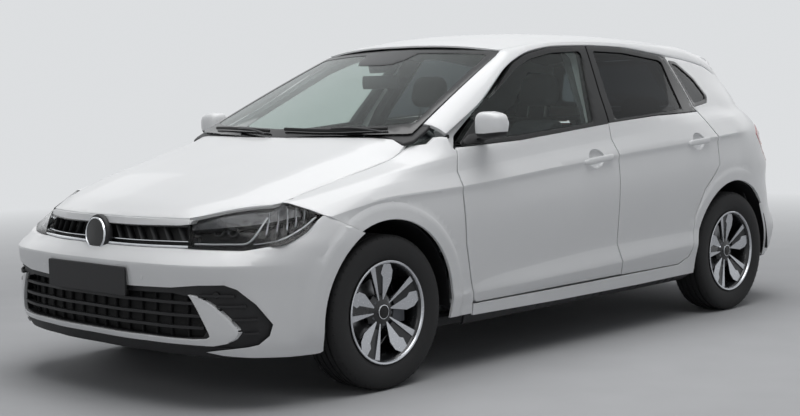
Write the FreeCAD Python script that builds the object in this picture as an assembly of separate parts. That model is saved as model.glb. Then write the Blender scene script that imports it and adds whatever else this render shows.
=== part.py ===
import FreeCAD, Part
import math
import os

os.makedirs("parts", exist_ok=True)
V = FreeCAD.Vector

# A five-door hatchback car, in millimetres.
# +Z is up, the car faces -Y and its left side is +X. The origin is on the ground,
# below the middle of the car's length and width.

# Main sizes
LENGTH = 4074.0
WIDTH = 1751.0
HEIGHT = 1446.0
WHEELBASE = 2552.0
FRONT_OVERHANG = 825.0
TRACK_FRONT = 1525.0
TRACK_REAR = 1505.0
BODY_FLOOR_Z = 180.0

# Wheels
TYRE_R = 308.0
TYRE_WIDTH = 185.0
RIM_R = 207.0
RIM_WELL_R = 172.0
RIM_WIDTH = 170.0
SPOKE_PAIRS = 5
SPOKE_DEPTH = 34.0
SPOKE_DISH = 12.0
HUB_R = 66.0
HUB_BORE_R = 24.0
STUB_CLEARANCE = 0.05
BRAKE_DISC_R = 138.0
BRAKE_DISC_THICK = 22.0
ARCH_R = 372.0
LINER_THICK = 5.0

# Wall thicknesses and gaps
SHUT_GAP = 5.0
SEAM = 0.3
DOOR_THICK = 125.0
FRAME_THICK = 42.0
PILLAR_THICK = 48.0
ROOF_THICK = 34.0
BONNET_THICK = 34.0
GLASS_THICK = 5.0
GLASS_SEAT = 3.0
GRILLE_DEPTH = 30.0
TAILGATE_GAP = 9.0
TAILGATE_RIM = 22.0
TAILGATE_STEP = 16.0
HINGE_Z = (470.0, 780.0)

# Joints: where the hinge lines and steering axis run
DOOR_FRONT_Y = 431.0
DOOR_SPLIT_Y = 1520.0
BONNET_REAR_Y = 300.0
TAILGATE_HINGE_Y = 188.0
STEER_LOW_X = 735.0
STEER_LOW_Z = 185.0
STEER_TOP_X = 595.0
STEER_TOP_Z = 780.0
STRUT_FOOT_X = 620.0

HALF = WIDTH / 2.0
FRONT_AXLE = -LENGTH / 2.0 + FRONT_OVERHANG
REAR_AXLE = FRONT_AXLE + WHEELBASE
TAIL = LENGTH / 2.0 - REAR_AXLE
AXLE_Z = TYRE_R


def f(y):
    """Place behind the front axle, as a Y value."""
    return FRONT_AXLE + y


def r(y):
    """Place behind the rear axle, as a Y value."""
    return REAR_AXLE + y


def side(x):
    """Puts a (y, z) outline on the plane at x."""
    return lambda u, v: V(x, u, v)


def front(y):
    """Puts an (x, z) outline on the plane at y."""
    return lambda u, v: V(u, y, v)


def plan(z):
    """Puts an (x, y) outline on the plane at z."""
    return lambda u, v: V(u, v, z)


def corners(table, grow):
    """Corners (u, v, radius) of a polygon whose edges move outwards by grow."""
    count = len(table)
    area = 0.0
    for i in range(count):
        here = table[i]
        after = table[(i + 1) % count]
        area += here[0] * after[1] - after[0] * here[1]
    sign = 1.0 if area > 0 else -1.0
    lines = []
    for i in range(count):
        here = table[i]
        after = table[(i + 1) % count]
        du = after[0] - here[0]
        dv = after[1] - here[1]
        size = math.hypot(du, dv)
        lines.append((here[0] + sign * dv / size * grow, here[1] - sign * du / size * grow, du, dv))
    found = []
    for i in range(count):
        a = lines[i - 1]
        b = lines[i]
        cross = a[2] * b[3] - a[3] * b[2]
        if abs(cross) < 1e-6:
            found.append((b[0], b[1], 0))
            continue
        t = ((b[0] - a[0]) * b[3] - (b[1] - a[1]) * b[2]) / cross
        radius = table[i][2]
        if radius > 0:
            radius = max(radius + (grow if cross * sign > 0 else -grow), 1.0)
        found.append((a[0] + a[2] * t, a[1] + a[3] * t, radius))
    return found


def outline(table, place, grow=0.0):
    """Closed wire of lines and arcs through a table of (u, v, corner radius)."""
    points = corners(table, grow)
    count = len(points)
    ends = []
    for i in range(count):
        u, v, radius = points[i]
        before = points[i - 1]
        after = points[(i + 1) % count]
        into = (u - before[0], v - before[1])
        out = (after[0] - u, after[1] - v)
        size_in = math.hypot(*into)
        size_out = math.hypot(*out)
        into = (into[0] / size_in, into[1] / size_in)
        out = (out[0] / size_out, out[1] / size_out)
        half_turn = math.acos(max(-1.0, min(1.0, into[0] * out[0] + into[1] * out[1]))) / 2.0
        cut = min(radius * math.tan(half_turn), 0.48 * size_in, 0.48 * size_out)
        if radius <= 0:
            ends.append(((u, v), None, (u, v)))
            continue
        radius = cut / math.tan(half_turn)
        inward = (out[0] - into[0], out[1] - into[1])
        size = math.hypot(*inward)
        rise = radius / math.cos(half_turn) - radius
        middle = (u + inward[0] / size * rise, v + inward[1] / size * rise)
        ends.append(((u - into[0] * cut, v - into[1] * cut), middle, (u + out[0] * cut, v + out[1] * cut)))
    edges = []
    for i in range(count):
        start, middle, end = ends[i]
        if middle:
            edges.append(Part.Arc(place(*start), place(*middle), place(*end)).toShape())
        edges.append(Part.LineSegment(place(*end), place(*ends[(i + 1) % count][0])).toShape())
    return Part.Wire(edges)


def prism(table, place, along, grow=0.0):
    """Solid made by pushing an outline along a vector."""
    return Part.Face(outline(table, place, grow)).extrude(along)


def block(x0, x1, y0, y1, z0, z1):
    return Part.makeBox(x1 - x0, y1 - y0, z1 - z0, V(x0, y0, z0))


def both(shape):
    """The shape and its mirror image across the car's middle."""
    return [shape, mirror(shape)]


def mirror(shape):
    return shape.mirror(V(0, 0, 0), V(1, 0, 0))


def join(shapes):
    result = shapes[0]
    if len(shapes) > 1:
        result = shapes[0].fuse(shapes[1:])
    return result.removeSplitter()


def keep(shape, smallest=2000.0):
    """The shape's solids without slivers left by cuts."""
    solids = [s for s in shape.Solids if s.Volume > smallest]
    return solids[0] if len(solids) == 1 else Part.makeCompound(solids)


def mirrored(table):
    """A half outline of (x, v, radius) with x > 0, closed by its mirror image."""
    return table + [(-u, v, radius) for (u, v, radius) in reversed(table)]


SCREEN_Y = -92.0
SCREEN_RISE = 0.459
SCREEN_RADIUS = 1350.0
TAIL_GLASS_Y = 547.0
TAIL_LEAN = 0.48
TAIL_RADIUS = 1700.0
SPOILER_Y = 336.0
SPOILER_Z = 1306.0
BELT_LOW = 880.0
SKIN = 58.0
DOOR_LAP = 38.0
ROOF_HALF = 562.0
REAR_WELL_X = 640.0
BONNET_LIP_Z = 692.0
GRILLE_SET = 10.0
SEAT_X = 365.0
MIRROR_X = 982.0
PLATE_WIDTH = 520.0
PLATE_HEIGHT = 110.0
PLATE_Y = -824.0
PLATE_Z = 421.0
REAR_PLATE_Z = 470.0
BADGE_R = 66.0
BADGE_Y = -775.0
BADGE_Z = 634.0
TAIL_LAMP_INNER_X = 400.0

# Envelope of the body
FLANK = [  # x, z, radius: section of the body below the windows
    (HALF - 40, 0, 0), (HALF - 40, 205, 8), (HALF - 28, 290, 30), (HALF - 26, 350, 60),
    (HALF - 9, 440, 120), (HALF, 600, 500), (HALF, 745, 300), (HALF - 7, 862, 60),
    (HALF - 32, 935, 60), (HALF - 62, 1100, 0)]
PLAN = [  # x, y, radius: the body seen from above
    (300, f(-FRONT_OVERHANG - 1), 1500), (640, f(-745), 420),
    (HALF - 38, f(-500), 500), (HALF - 4, f(60), 3000), (HALF + 1, f(1300), 6000), (HALF - 14, r(-300), 3000),
    (HALF - 46, r(290), 700), (HALF - 130, r(590), 300), (560, r(TAIL - 30), 500), (250, r(TAIL + 1), 1500)]
NOSE_HIGH = [  # x, y, radius: grille and lamps seen from above
    (300, f(-742), 1200), (560, f(-650), 500), (HALF - 60, f(-440), 200),
    (HALF + 20, f(-250), 0), (HALF + 20, f(800), 0)]
BONNET_SLOPE = 0.25
CROWN_Z = 782.0
CROWN_Y = -292.0
CROWN = [  # x, height above the bonnet's edge line, radius: section across the bonnet
    (HALF + 20, -700, 0), (HALF + 20, -170, 0), (828, -62, 80), (672, 0, 300), (330, 86, 900)]
GREEN_Z = 1200.0
GREEN_LEAN = 0.569
GREENHOUSE = [  # x at GREEN_Z, y, radius: cabin sides seen from above
    (600, f(-100), 0), (652, f(430), 2000), (698, f(1150), 5000), (702, f(1750), 5000), (676, r(-220), 1500),
    (630, r(130), 500), (560, r(480), 0), (-1200, r(480), 0), (-1200, f(-100), 0)]
ROOF_CROSS = [  # x, z, radius: section across the roof
    (900, 900, 0), (900, HEIGHT - 230, 0), (640, HEIGHT - 98, 0), (575, HEIGHT - 54, 90),
    (400, HEIGHT - 22, 500), (170, HEIGHT, 1500)]
PROFILE = [  # y, z, radius: the car seen from the side, on its middle line
    (f(-700), BODY_FLOOR_Z + 30, 0), (f(-800), 222, 10), (f(-822), 300, 60), (f(-825), 548, 18),
    (f(-765), 590, 20), (f(-742), 606, 0), (f(-744), 700, 0), (f(-733), 722, 30), (f(-560), 800, 700),
    (f(-250), 893, 1500), (f(130), 985, 1500), (f(300), 1012, 0), (r(-300), 1048, 0), (r(430), 1020, 60),
    (r(585), 950, 60), (r(640), 800, 150), (r(632), 655, 0), (r(672), 640, 20), (r(TAIL), 590, 60),
    (r(TAIL), 450, 100), (r(640), 255, 60), (r(560), 225, 0), (r(300), BODY_FLOOR_Z, 0), (f(-300), BODY_FLOOR_Z, 0)]
NOSE_PROFILE = [  # y, z, radius: the front end on its middle line, with the grille's ledge
    (f(-770), 214, 10), (f(-822), 300, 60), (f(-825), 548, 12), (f(-745), 612, 12), (f(-737), 712, 20),
    (f(-560), 800, 700), (f(-250), 893, 1500), (f(130), 985, 1500), (f(300), 1012, 0), (f(800), 1020, 0),
    (f(800), BODY_FLOOR_Z - 100, 0), (f(-100), BODY_FLOOR_Z - 100, 0), (f(-100), BODY_FLOOR_Z, 0)]
CABIN_PROFILE = [  # y, z, radius: windscreen header, roof and spoiler
    (f(-80), 1000, 0), (f(920), 1346, 0), (f(1090), 1412, 400), (f(1500), HEIGHT, 2500), (f(2010), HEIGHT, 2500),
    (r(-60), HEIGHT - 30, 1500), (r(400), HEIGHT - 122, 0), (r(700), 940, 0), (f(-80), 940, 0)]


def plug(table, grow=0.0):
    """A leaning block through one side of the car; its faces lean forwards as they go in.

    Each row is y, z, skin x, lean and corner radius. Every corner keeps its
    height and moves forwards by lean for each millimetre further in."""
    near = HALF + 30.0
    far = 420.0
    wires = []
    for x in (near, far):
        rows = [(y - lean * (skin - x), z, radius) for (y, z, skin, lean, radius) in table]
        wires.append(outline(rows, side(x), grow))
    return Part.makeLoft(wires, True, True)


# Door outlines: y, z, skin x, lean and corner radius
SILL_Z = 284.0
DOOR_FRONT = [
    (f(DOOR_FRONT_Y + 24), SILL_Z, 835, 0.0, 40), (f(DOOR_FRONT_Y), 540, 865, 0.0, 300),
    (f(DOOR_FRONT_Y), 860, 850, 0.0, 60), (f(DOOR_FRONT_Y + 4), 945, 800, 0.0, 0),
    (f(DOOR_FRONT_Y + 30), 975, 780, 0.02, 0),
    (f(1032), 1296, 640, 0.05, 200), (f(1190), 1351, 620, 0.1, 300), (f(1400), 1372, 608, 0.2, 300),
    (f(DOOR_SPLIT_Y + 113), 1374, 605, 0.27, 12),
    (f(DOOR_SPLIT_Y), 977, 820, 0.27, 0), (f(DOOR_SPLIT_Y), 900, 864, 0.24, 0), (f(DOOR_SPLIT_Y), 560, 872, 0.22, 0),
    (f(DOOR_SPLIT_Y + 2), SILL_Z + 4, 845, 0.22, 30)]
DOOR_REAR = [
    (f(DOOR_SPLIT_Y + 7), SILL_Z + 4, 845, 0.0, 30), (f(DOOR_SPLIT_Y + 5), 560, 872, 0.0, 0),
    (f(DOOR_SPLIT_Y + 5), 977, 820, 0.0, 0),
    (f(DOOR_SPLIT_Y + 118), 1374, 605, 0.2, 12),
    (f(1906), 1366, 605, 0.3, 900), (r(-286), 1312, 615, 0.42, 25),
    (r(-226), 1053, 770, 0.42, 60), (r(-194), 985, 810, 0.3, 60),
    (r(-150), 906, 840, 0.3, 60), (r(-156), 760, 850, 0.3, 120),
    (r(-330), 520, 855, 0.25, 260), (r(-415), 364, 850, 0.25, 60), (r(-500), SILL_Z + 8, 835, 0.25, 40)]
# Side window outlines inside the doors, and the fixed quarter window behind them
GLASS_FRONT = [
    (f(452), 978, 790, 0, 12), (f(1040), 1268, 650, 0, 150), (f(1190), 1320, 630, 0, 250), (f(1400), 1338, 622, 0, 200),
    (f(1572), 1341, 622, 0, 25), (f(1423), 1016, 812, 0, 20), (f(700), 1000, 815, 0, 100)]
GLASS_REAR = [
    (f(1645), 1341, 622, 0, 25), (f(1906), 1333, 620, 0, 900), (r(-300), 1284, 630, 0, 30),
    (r(-248), 1064, 765, 0, 30), (f(1560), 1022, 812, 0, 20)]
QUARTER = [
    (r(-262), 1304, 625, 0, 20), (r(-190), 1288, 632, 0, 200), (r(-70), 1208, 655, 0, 100), (r(-8), 1104, 700, 0, 50),
    (r(-50), 1080, 715, 0, 30), (r(-210), 1066, 762, 0, 10)]

# Bonnet outline from above, lamp outline from the front, tailgate outline from behind
BONNET = [  # x, y, radius
    (459, f(-790), 0), (459, f(-659), 20), (655, f(-407), 30), (672, f(-292), 300),
    (706, f(175), 200), (690, f(BONNET_REAR_Y), 40), (400, f(180), 700), (150, f(120), 700)]
LAMP = [  # x, z, radius
    (487, 606, 6), (459, 716, 4), (655, 753, 30), (704, 763, 60), (850, 716, 0), (850, 640, 0), (705, 604, 60)]
TAILGATE = [  # x, z, radius
    (520, 655, 60), (578, 760, 60), (578, 1070, 200), (545, 1210, 200), (505, 1500, 0)]


SCREEN = [  # x, y, radius: windscreen from above
    (150, f(138), 700), (400, f(198), 700), (694, f(318), 12), (569, f(1040), 40), (300, f(972), 800)]
TAIL_WINDOW = [  # x, z, radius: tail window from behind
    (490, 1045, 50), (455, 1285, 0)]
TAIL_LAMP = [  # y, z, radius: tail lamps from the side
    (r(330), 905, 20), (r(420), 955, 20), (r(900), 960, 0), (r(900), 745, 0), (r(480), 745, 40)]
BUMPER_REAR = [  # y, z, radius: rear bumper from the side
    (r(0), 100, 0), (r(0), 480, 0), (r(345), 560, 0), (r(480), 700, 40), (r(900), 700, 0), (r(900), 100, 0)]
BUMPER_FRONT = [  # y, z, radius: front bumper from the side
    (f(-950), 100, 0), (f(-950), 800, 0), (f(-335), 800, 0), (f(-335), 723, 0), (f(-174), 647, 0),
    (f(-120), 560, 0), (f(-120), 100, 0)]
UPPER_GRILLE = [  # x, z, radius: upper grille from the front
    (486, 604, 4), (459, 698, 0)]
LOWER_GRILLE = [  # x, z, radius: lower grille from the front
    (545, 462, 12), (490, 276, 20)]
SIDE_GRILLE = [  # x, z, radius: left outer grille from the front
    (590, 462, 12), (716, 484, 30), (800, 340, 30), (770, 268, 30), (560, 276, 20)]


def sector(radius, x0, x1, y, z):
    """Cylinder along X, for wheel arches."""
    return Part.makeCylinder(radius, x1 - x0, V(x0, y, z), V(1, 0, 0))


def arches(radius, inner_front, inner_rear):
    """Left wheel wells, front and rear, out past the body."""
    return [sector(radius, inner_front, HALF + 60, FRONT_AXLE, AXLE_Z),
            sector(radius, inner_rear, HALF + 60, REAR_AXLE, AXLE_Z)]


def tyre(x, y):
    """Plain tyre, its tread face lightly crowned."""
    half = TYRE_WIDTH / 2.0
    rows = [  # across, radius from the axle, corner radius
        (half - 16.8, RIM_R - 8, 0), (half - 16.8, RIM_R, 0), (half, RIM_R + 42, 0), (half - 6, TYRE_R - 24, 0),
        (half - 26, TYRE_R - 5, 0), (half - 70, TYRE_R, 0)]
    table = mirrored(rows)
    shape = Part.Face(outline(table, lambda u, v: V(x + u, y, AXLE_Z + v)))
    return shape.revolve(V(x, y, AXLE_Z), V(1, 0, 0), 360)


def ring(r_out, r_in, x0, x1, y):
    outer = Part.makeCylinder(r_out, x1 - x0, V(x0, y, AXLE_Z), V(1, 0, 0))
    return outer.cut(Part.makeCylinder(r_in, x1 - x0, V(x0, y, AXLE_Z), V(1, 0, 0)))


def rim(x, y):
    """Left alloy wheel with five pairs of spokes and its brake disc, centred at x."""
    half = RIM_WIDTH / 2.0
    face = x + half
    barrel = ring(RIM_R - 8.2, RIM_WELL_R, x - half, face, y)
    lips = [ring(RIM_R - 0.2, RIM_R - 26, x - half, x - half + 9, y), ring(RIM_R - 0.2, RIM_R - 26, face - 9, face, y)]
    hub = Part.makeCylinder(HUB_R, SPOKE_DEPTH + 20, V(face - SPOKE_DISH - SPOKE_DEPTH - 20, y, AXLE_Z), V(1, 0, 0))
    spokes = []
    step = 360.0 / SPOKE_PAIRS
    for i in range(SPOKE_PAIRS):
        for turn, root, tip in ((-12.0, 15.0, 13.0), (14.0, 19.0, 37.0)):
            rows = [(-root, HUB_R - 20, 0), (root, HUB_R - 20, 0), (tip, RIM_WELL_R + 6, 0), (-tip, RIM_WELL_R + 6, 0)]
            spoke = Part.Face(outline(rows, lambda u, v: V(face - SPOKE_DISH - SPOKE_DEPTH, y + u, AXLE_Z + v)))
            spoke = spoke.extrude(V(SPOKE_DEPTH, 0, 0))
            spoke.rotate(V(x, y, AXLE_Z), V(1, 0, 0), i * step + turn)
            spokes.append(spoke)
    disc_x = face - SPOKE_DISH - SPOKE_DEPTH - 20 - BRAKE_DISC_THICK
    disc = Part.makeCylinder(BRAKE_DISC_R, BRAKE_DISC_THICK, V(disc_x, y, AXLE_Z), V(1, 0, 0))
    bore = Part.makeCylinder(HUB_BORE_R, 400, V(x - 200, y, AXLE_Z), V(1, 0, 0))
    cap = Part.makeCylinder(HUB_BORE_R, 20, V(face - SPOKE_DISH - 20, y, AXLE_Z), V(1, 0, 0))
    body = join([barrel] + lips + [hub, disc] + spokes)
    return body.cut(bore).fuse(cap).removeSplitter()


PIECES = {}


def wheels():
    for name, x, y in (("front", TRACK_FRONT / 2, FRONT_AXLE), ("rear", TRACK_REAR / 2, REAR_AXLE)):
        rubber = tyre(x, y)
        alloy = rim(x, y)
        PIECES["tyre_%s_left" % name] = rubber
        PIECES["tyre_%s_right" % name] = mirror(rubber)
        PIECES["rim_%s_left" % name] = alloy
        PIECES["rim_%s_right" % name] = mirror(alloy)


def hub_stub(x, y, inner_x):
    """Round stub that carries a wheel, from inner_x out to just short of the wheel's cap."""
    end = x + RIM_WIDTH / 2.0 - SPOKE_DISH - 21
    return Part.makeCylinder(HUB_BORE_R - STUB_CLEARANCE, end - inner_x, V(inner_x, y, AXLE_Z), V(1, 0, 0))


def strut_point(t):
    """Point on the steering axis, from the lower ball joint (0) to the strut's top (1)."""
    return V(STEER_LOW_X + (STEER_TOP_X - STEER_LOW_X) * t, FRONT_AXLE, STEER_LOW_Z + (STEER_TOP_Z - STEER_LOW_Z) * t)


def strut(t0, t1, radius):
    start = strut_point(t0)
    way = strut_point(t1) - start
    return Part.makeCylinder(radius, way.Length, start, way)


def knuckles():
    """Upright, stub and strut, which turn together with the steering."""
    x = TRACK_FRONT / 2.0
    disc_x = x + RIM_WIDTH / 2.0 - SPOKE_DISH - SPOKE_DEPTH - 20 - BRAKE_DISC_THICK
    upright = Part.makeCylinder(62, 46, V(disc_x - 52, FRONT_AXLE, AXLE_Z), V(1, 0, 0))
    arm = block(disc_x - 52, disc_x - 12, FRONT_AXLE - 26, FRONT_AXLE + 26, STEER_LOW_Z + 14, AXLE_Z)
    boss = strut(0.0185, 0.1, 20)
    clamp = block(STRUT_FOOT_X - 24, disc_x - 8, FRONT_AXLE - 26, FRONT_AXLE + 26, AXLE_Z + 34, AXLE_Z + 96)
    foot = V(STRUT_FOOT_X, FRONT_AXLE, AXLE_Z + 34)
    way = strut_point(1.0) - foot
    tube = Part.makeCylinder(24, way.Length * 0.66, foot, way)
    spring = Part.makeCylinder(54, way.Length * 0.36, foot + way * 0.58, way)
    rod = Part.makeCylinder(12, way.Length * 0.3, foot + way * 0.7, way)
    caliper = block(disc_x - 34, disc_x + BRAKE_DISC_THICK + 14, FRONT_AXLE + 70, FRONT_AXLE + 142,
                    AXLE_Z - 55, AXLE_Z + 55)
    slot = Part.makeCylinder(BRAKE_DISC_R + 6, BRAKE_DISC_THICK + 10, V(disc_x - 5, FRONT_AXLE, AXLE_Z), V(1, 0, 0))
    carrier = block(disc_x - 34, disc_x - 12, FRONT_AXLE + 30, FRONT_AXLE + 90, AXLE_Z - 40, AXLE_Z + 40)
    stub = hub_stub(x, FRONT_AXLE, disc_x - 30)
    shape = join([upright, arm, boss, clamp, tube, spring, rod, carrier, caliper.cut(slot)])
    socket = Part.makeCylinder(26, 130, V(disc_x - 10, FRONT_AXLE, AXLE_Z), V(1, 0, 0))
    shape = join([shape.cut(socket), stub])
    PIECES["knuckle_left"] = shape
    PIECES["knuckle_right"] = mirror(shape)


def suspension():
    """Front subframe with its arms and drive shafts, and the rear beam axle."""
    arm_end = STEER_LOW_X
    arm = prism([(arm_end + 16, FRONT_AXLE - 16, 14), (arm_end + 16, FRONT_AXLE + 16, 14),
                 (600, FRONT_AXLE + 24, 60), (400, FRONT_AXLE + 250, 30), (330, FRONT_AXLE + 250, 20),
                 (330, FRONT_AXLE - 40, 20), (600, FRONT_AXLE - 24, 60)],
                plan(STEER_LOW_Z - 24), V(0, 0, 24))
    pin = strut(-0.02, 0.018, 12)
    frame = block(-345, 345, FRONT_AXLE + 60, FRONT_AXLE + 300, BODY_FLOOR_Z, BODY_FLOOR_Z + 60)
    posts = both(block(415, 465, FRONT_AXLE + 200, FRONT_AXLE + 290, STEER_LOW_Z - 20, 300))
    ties = both(block(340, 465, FRONT_AXLE + 200, FRONT_AXLE + 290, BODY_FLOOR_Z, BODY_FLOOR_Z + 60))
    PIECES["front_subframe"] = join([frame] + both(arm) + both(pin) + posts + ties)
    beam = block(-520, 520, REAR_AXLE - 330, REAR_AXLE - 270, 235, 300)
    x = TRACK_REAR / 2.0
    disc_x = x + RIM_WIDTH / 2.0 - SPOKE_DISH - SPOKE_DEPTH - 20 - BRAKE_DISC_THICK
    link = prism([(REAR_AXLE - 470, 275, 0), (REAR_AXLE - 470, 335, 30), (REAR_AXLE - 300, 320, 60), (REAR_AXLE + 50, 345, 20),
                  (REAR_AXLE + 50, 262, 20), (REAR_AXLE - 250, 232, 80)], side(520), V(50, 0, 0))
    seat = block(440, 545, REAR_AXLE - 40, REAR_AXLE + 60, 262, 300)
    spring = Part.makeCylinder(55, 100, V(480, REAR_AXLE + 5, 300), V(0, 0, 1))
    axle = Part.makeCylinder(48, disc_x - 8 - 560, V(560, REAR_AXLE, AXLE_Z), V(1, 0, 0))
    bush = block(500, 590, REAR_AXLE - 490, REAR_AXLE - 410, 275, 400)
    stub = hub_stub(x, REAR_AXLE, 600)
    half = join([link, seat, spring, axle, bush, stub])
    PIECES["rear_axle"] = join([beam] + both(half))


def arc_block(y, radius, way, low, high, edge_x, back):
    """Everything on one side of a curved sheet that crosses the car.

    The sheet's level section is an arc of the radius whose middle lies at y on
    height low, and it leans along way as it rises to height high."""
    sag = radius - math.sqrt(radius * radius - edge_x * edge_x)
    ahead = 1.0 if back > y else -1.0
    arc = Part.Arc(V(-edge_x, y + ahead * sag, low), V(0, y, low), V(edge_x, y + ahead * sag, low)).toShape()
    lines = [Part.LineSegment(V(edge_x, y + ahead * sag, low), V(edge_x, back, low)).toShape(),
             Part.LineSegment(V(edge_x, back, low), V(-edge_x, back, low)).toShape(),
             Part.LineSegment(V(-edge_x, back, low), V(-edge_x, y + ahead * sag, low)).toShape()]
    return Part.Face(Part.Wire([arc] + lines)).extrude(V(0, way, 1).multiply(high - low))


def screen_block(inset=0.0):
    """Everything behind the windscreen's outer face."""
    return arc_block(f(SCREEN_Y) + inset / SCREEN_RISE, SCREEN_RADIUS, 1.0 / SCREEN_RISE, BELT_LOW, HEIGHT + 20,
                     900.0, r(2000))


def tail_block(inset=0.0):
    """Everything ahead of the tail window and of the spoiler's end."""
    window = arc_block(r(TAIL_GLASS_Y) - inset, TAIL_RADIUS, -TAIL_LEAN, BELT_LOW, SPOILER_Z, 800.0, f(-900))
    spoiler = arc_block(r(SPOILER_Y) - inset, TAIL_RADIUS, 0.0, SPOILER_Z - 0.01, HEIGHT + 20, 800.0, f(-900))
    return window.fuse(spoiler)


def tail_depth(inset):
    """Everything ahead of the tail window's plane, moved in by inset, below the spoiler."""
    return arc_block(r(TAIL_GLASS_Y) - inset, TAIL_RADIUS, -TAIL_LEAN, BELT_LOW, SPOILER_Z - 6, 800.0, f(0))


def lower_body(grow=0.0):
    """Everything below the windows, with flat ends above the belt."""
    shape = prism(PROFILE, side(-HALF - 50), V(WIDTH + 100, 0, 0), grow)
    shape = shape.common(prism(mirrored(PLAN), plan(0), V(0, 0, HEIGHT), grow))
    return shape.common(prism(mirrored(FLANK), front(-LENGTH), V(0, 2 * LENGTH, 0), grow))


def nose(grow=0.0):
    """The front of the body up to the windscreen, with the bonnet's cross section."""
    shape = prism(NOSE_PROFILE, side(-HALF - 50), V(WIDTH + 100, 0, 0), grow)
    shape = shape.common(prism(mirrored(PLAN), plan(0), V(0, 0, HEIGHT), grow))
    shape = shape.common(prism(mirrored(FLANK), front(-LENGTH), V(0, 2 * LENGTH, 0), grow))
    start = f(-900)
    rise = (start - f(CROWN_Y)) * BONNET_SLOPE
    table = [(x, CROWN_Z + rise + h, radius) for (x, h, radius) in CROWN]
    length = f(470) - start
    shape = shape.common(prism(mirrored(table), front(start), V(0, length, length * BONNET_SLOPE), grow))
    low = block(-HALF - 60, HALF + 60, f(-900), f(800), 0, 598 - grow)
    high = prism(mirrored(NOSE_HIGH), plan(590 - grow), V(0, 0, 600), grow)
    return shape.common(low.fuse(high))


def greenhouse(inset=0.0, roof_inset=0.0):
    """Windows and roof; inset thins the sides, roof_inset the roof, windscreen and tail window."""
    shape = prism(CABIN_PROFILE, side(-HALF), V(WIDTH, 0, 0))
    if roof_inset:
        shape.translate(V(0, 0, -roof_inset))
    shift = (GREEN_Z - BELT_LOW) * GREEN_LEAN
    table = [(x + shift if x > 0 else x, y, radius) for (x, y, radius) in GREENHOUSE]
    rise = HEIGHT + 50 - BELT_LOW
    wall = prism(table, plan(BELT_LOW), V(-rise * GREEN_LEAN, 0, rise), -inset * math.hypot(1, GREEN_LEAN))
    shape = shape.common(wall).common(mirror(wall))
    shape = shape.common(prism(mirrored(ROOF_CROSS), front(-LENGTH), V(0, 2 * LENGTH, 0), -roof_inset))
    return shape.common(screen_block(roof_inset)).common(tail_block(roof_inset))


def low_space(half_width, y0, rounded=False):
    """Space below the windows between upright walls, from y0 to the tailgate.

    A rounded space also follows the body's corners seen from above."""
    table = [(y0, BODY_FLOOR_Z - 50, 0), (y0, 1200, 0), (r(415), 1200, 0), (r(430), 1000, 0), (r(545), 945, 60),
             (r(598), 800, 100), (r(598), BODY_FLOOR_Z - 50, 0)]
    space = prism(table, side(-half_width), V(2 * half_width, 0, 0))
    if rounded:
        space = space.common(prism(mirrored(PLAN), plan(0), V(0, 0, HEIGHT), half_width - HALF))
    return space


LOWER = lower_body()
NOSE = nose()
NOSE_IN = nose(-SKIN)
BAY = nose(-SKIN - SEAM)
GREEN = greenhouse()
POST_Y = f(DOOR_FRONT_Y - 100)
CABIN_HALF = HALF - DOOR_THICK - PILLAR_THICK
CABIN = low_space(CABIN_HALF, POST_Y)
CABIN_TOP = greenhouse(FRAME_THICK + PILLAR_THICK, ROOF_THICK)
LEFT = block(0, HALF + 200, -LENGTH, LENGTH, 0, HEIGHT + 100)


def lamp_space(grow):
    return prism(LAMP, front(f(-900)), V(0, 650, 0), grow)


def tail_lamp_space(grow):
    """Left tail lamp seen from the side, both on the body and on the tailgate."""
    return prism(TAIL_LAMP, side(TAIL_LAMP_INNER_X), V(HALF, 0, 0), grow)


def tailgate_space(grow):
    """Room of the tailgate, seen from behind, back from its hinge line."""
    return prism(mirrored(TAILGATE), front(r(TAILGATE_HINGE_Y) - grow), V(0, 900, 0), grow)


def side_shell(thick_low, thick_high):
    """Left skin of cabin and tail: thick_low below the windows and thick_high beside them."""
    low = LOWER.cut(low_space(HALF - thick_low, f(0))).common(block(0, HALF + 10, f(0), r(TAIL + 10), 0, 1100))
    high = GREEN.cut(greenhouse(thick_high, ROOF_THICK)).common(LEFT)
    return low.fuse(high)


def doors():
    shell = side_shell(DOOR_THICK - SHUT_GAP, FRAME_THICK - SHUT_GAP)
    glass_zone = greenhouse(GLASS_SEAT, 0).cut(greenhouse(GLASS_SEAT + GLASS_THICK, 0))
    for name, table, window in (("front", DOOR_FRONT, GLASS_FRONT), ("rear", DOOR_REAR, GLASS_REAR)):
        hole = [(y, z, radius) for (y, z, skin, lean, radius) in window]
        door = shell.common(plug(table)).cut(prism(hole, side(300), V(HALF, 0, 0))).cut(roof_space(SHUT_GAP))
        if name == "rear":
            door = door.cut(sector(ARCH_R, 400, HALF + 60, REAR_AXLE, AXLE_Z))
        pane = glass_zone.common(prism(hole, side(300), V(HALF, 0, 0), -SEAM))
        for end, make in (("left", lambda s: s), ("right", mirror)):
            PIECES["door_%s_%s" % (name, end)] = make(keep(door))
            PIECES["glass_%s_%s" % (name, end)] = make(keep(pane))


def hinge_pads():
    """Pads that carry the door hinges, on the front post and on the middle pillar."""
    pads = []
    front_y = f(DOOR_FRONT_Y)
    pillar_x = HALF - DOOR_THICK
    for z in HINGE_Z:
        pads.append(block(750, 800, front_y - SHUT_GAP - 3, front_y - SEAM, z - 45, z + 45))
        pads.append(block(pillar_x - 3, pillar_x + SHUT_GAP - SEAM, f(DOOR_SPLIT_Y + 9), f(DOOR_SPLIT_Y + 24), z - 45, z + 45))
    return pads


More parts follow.
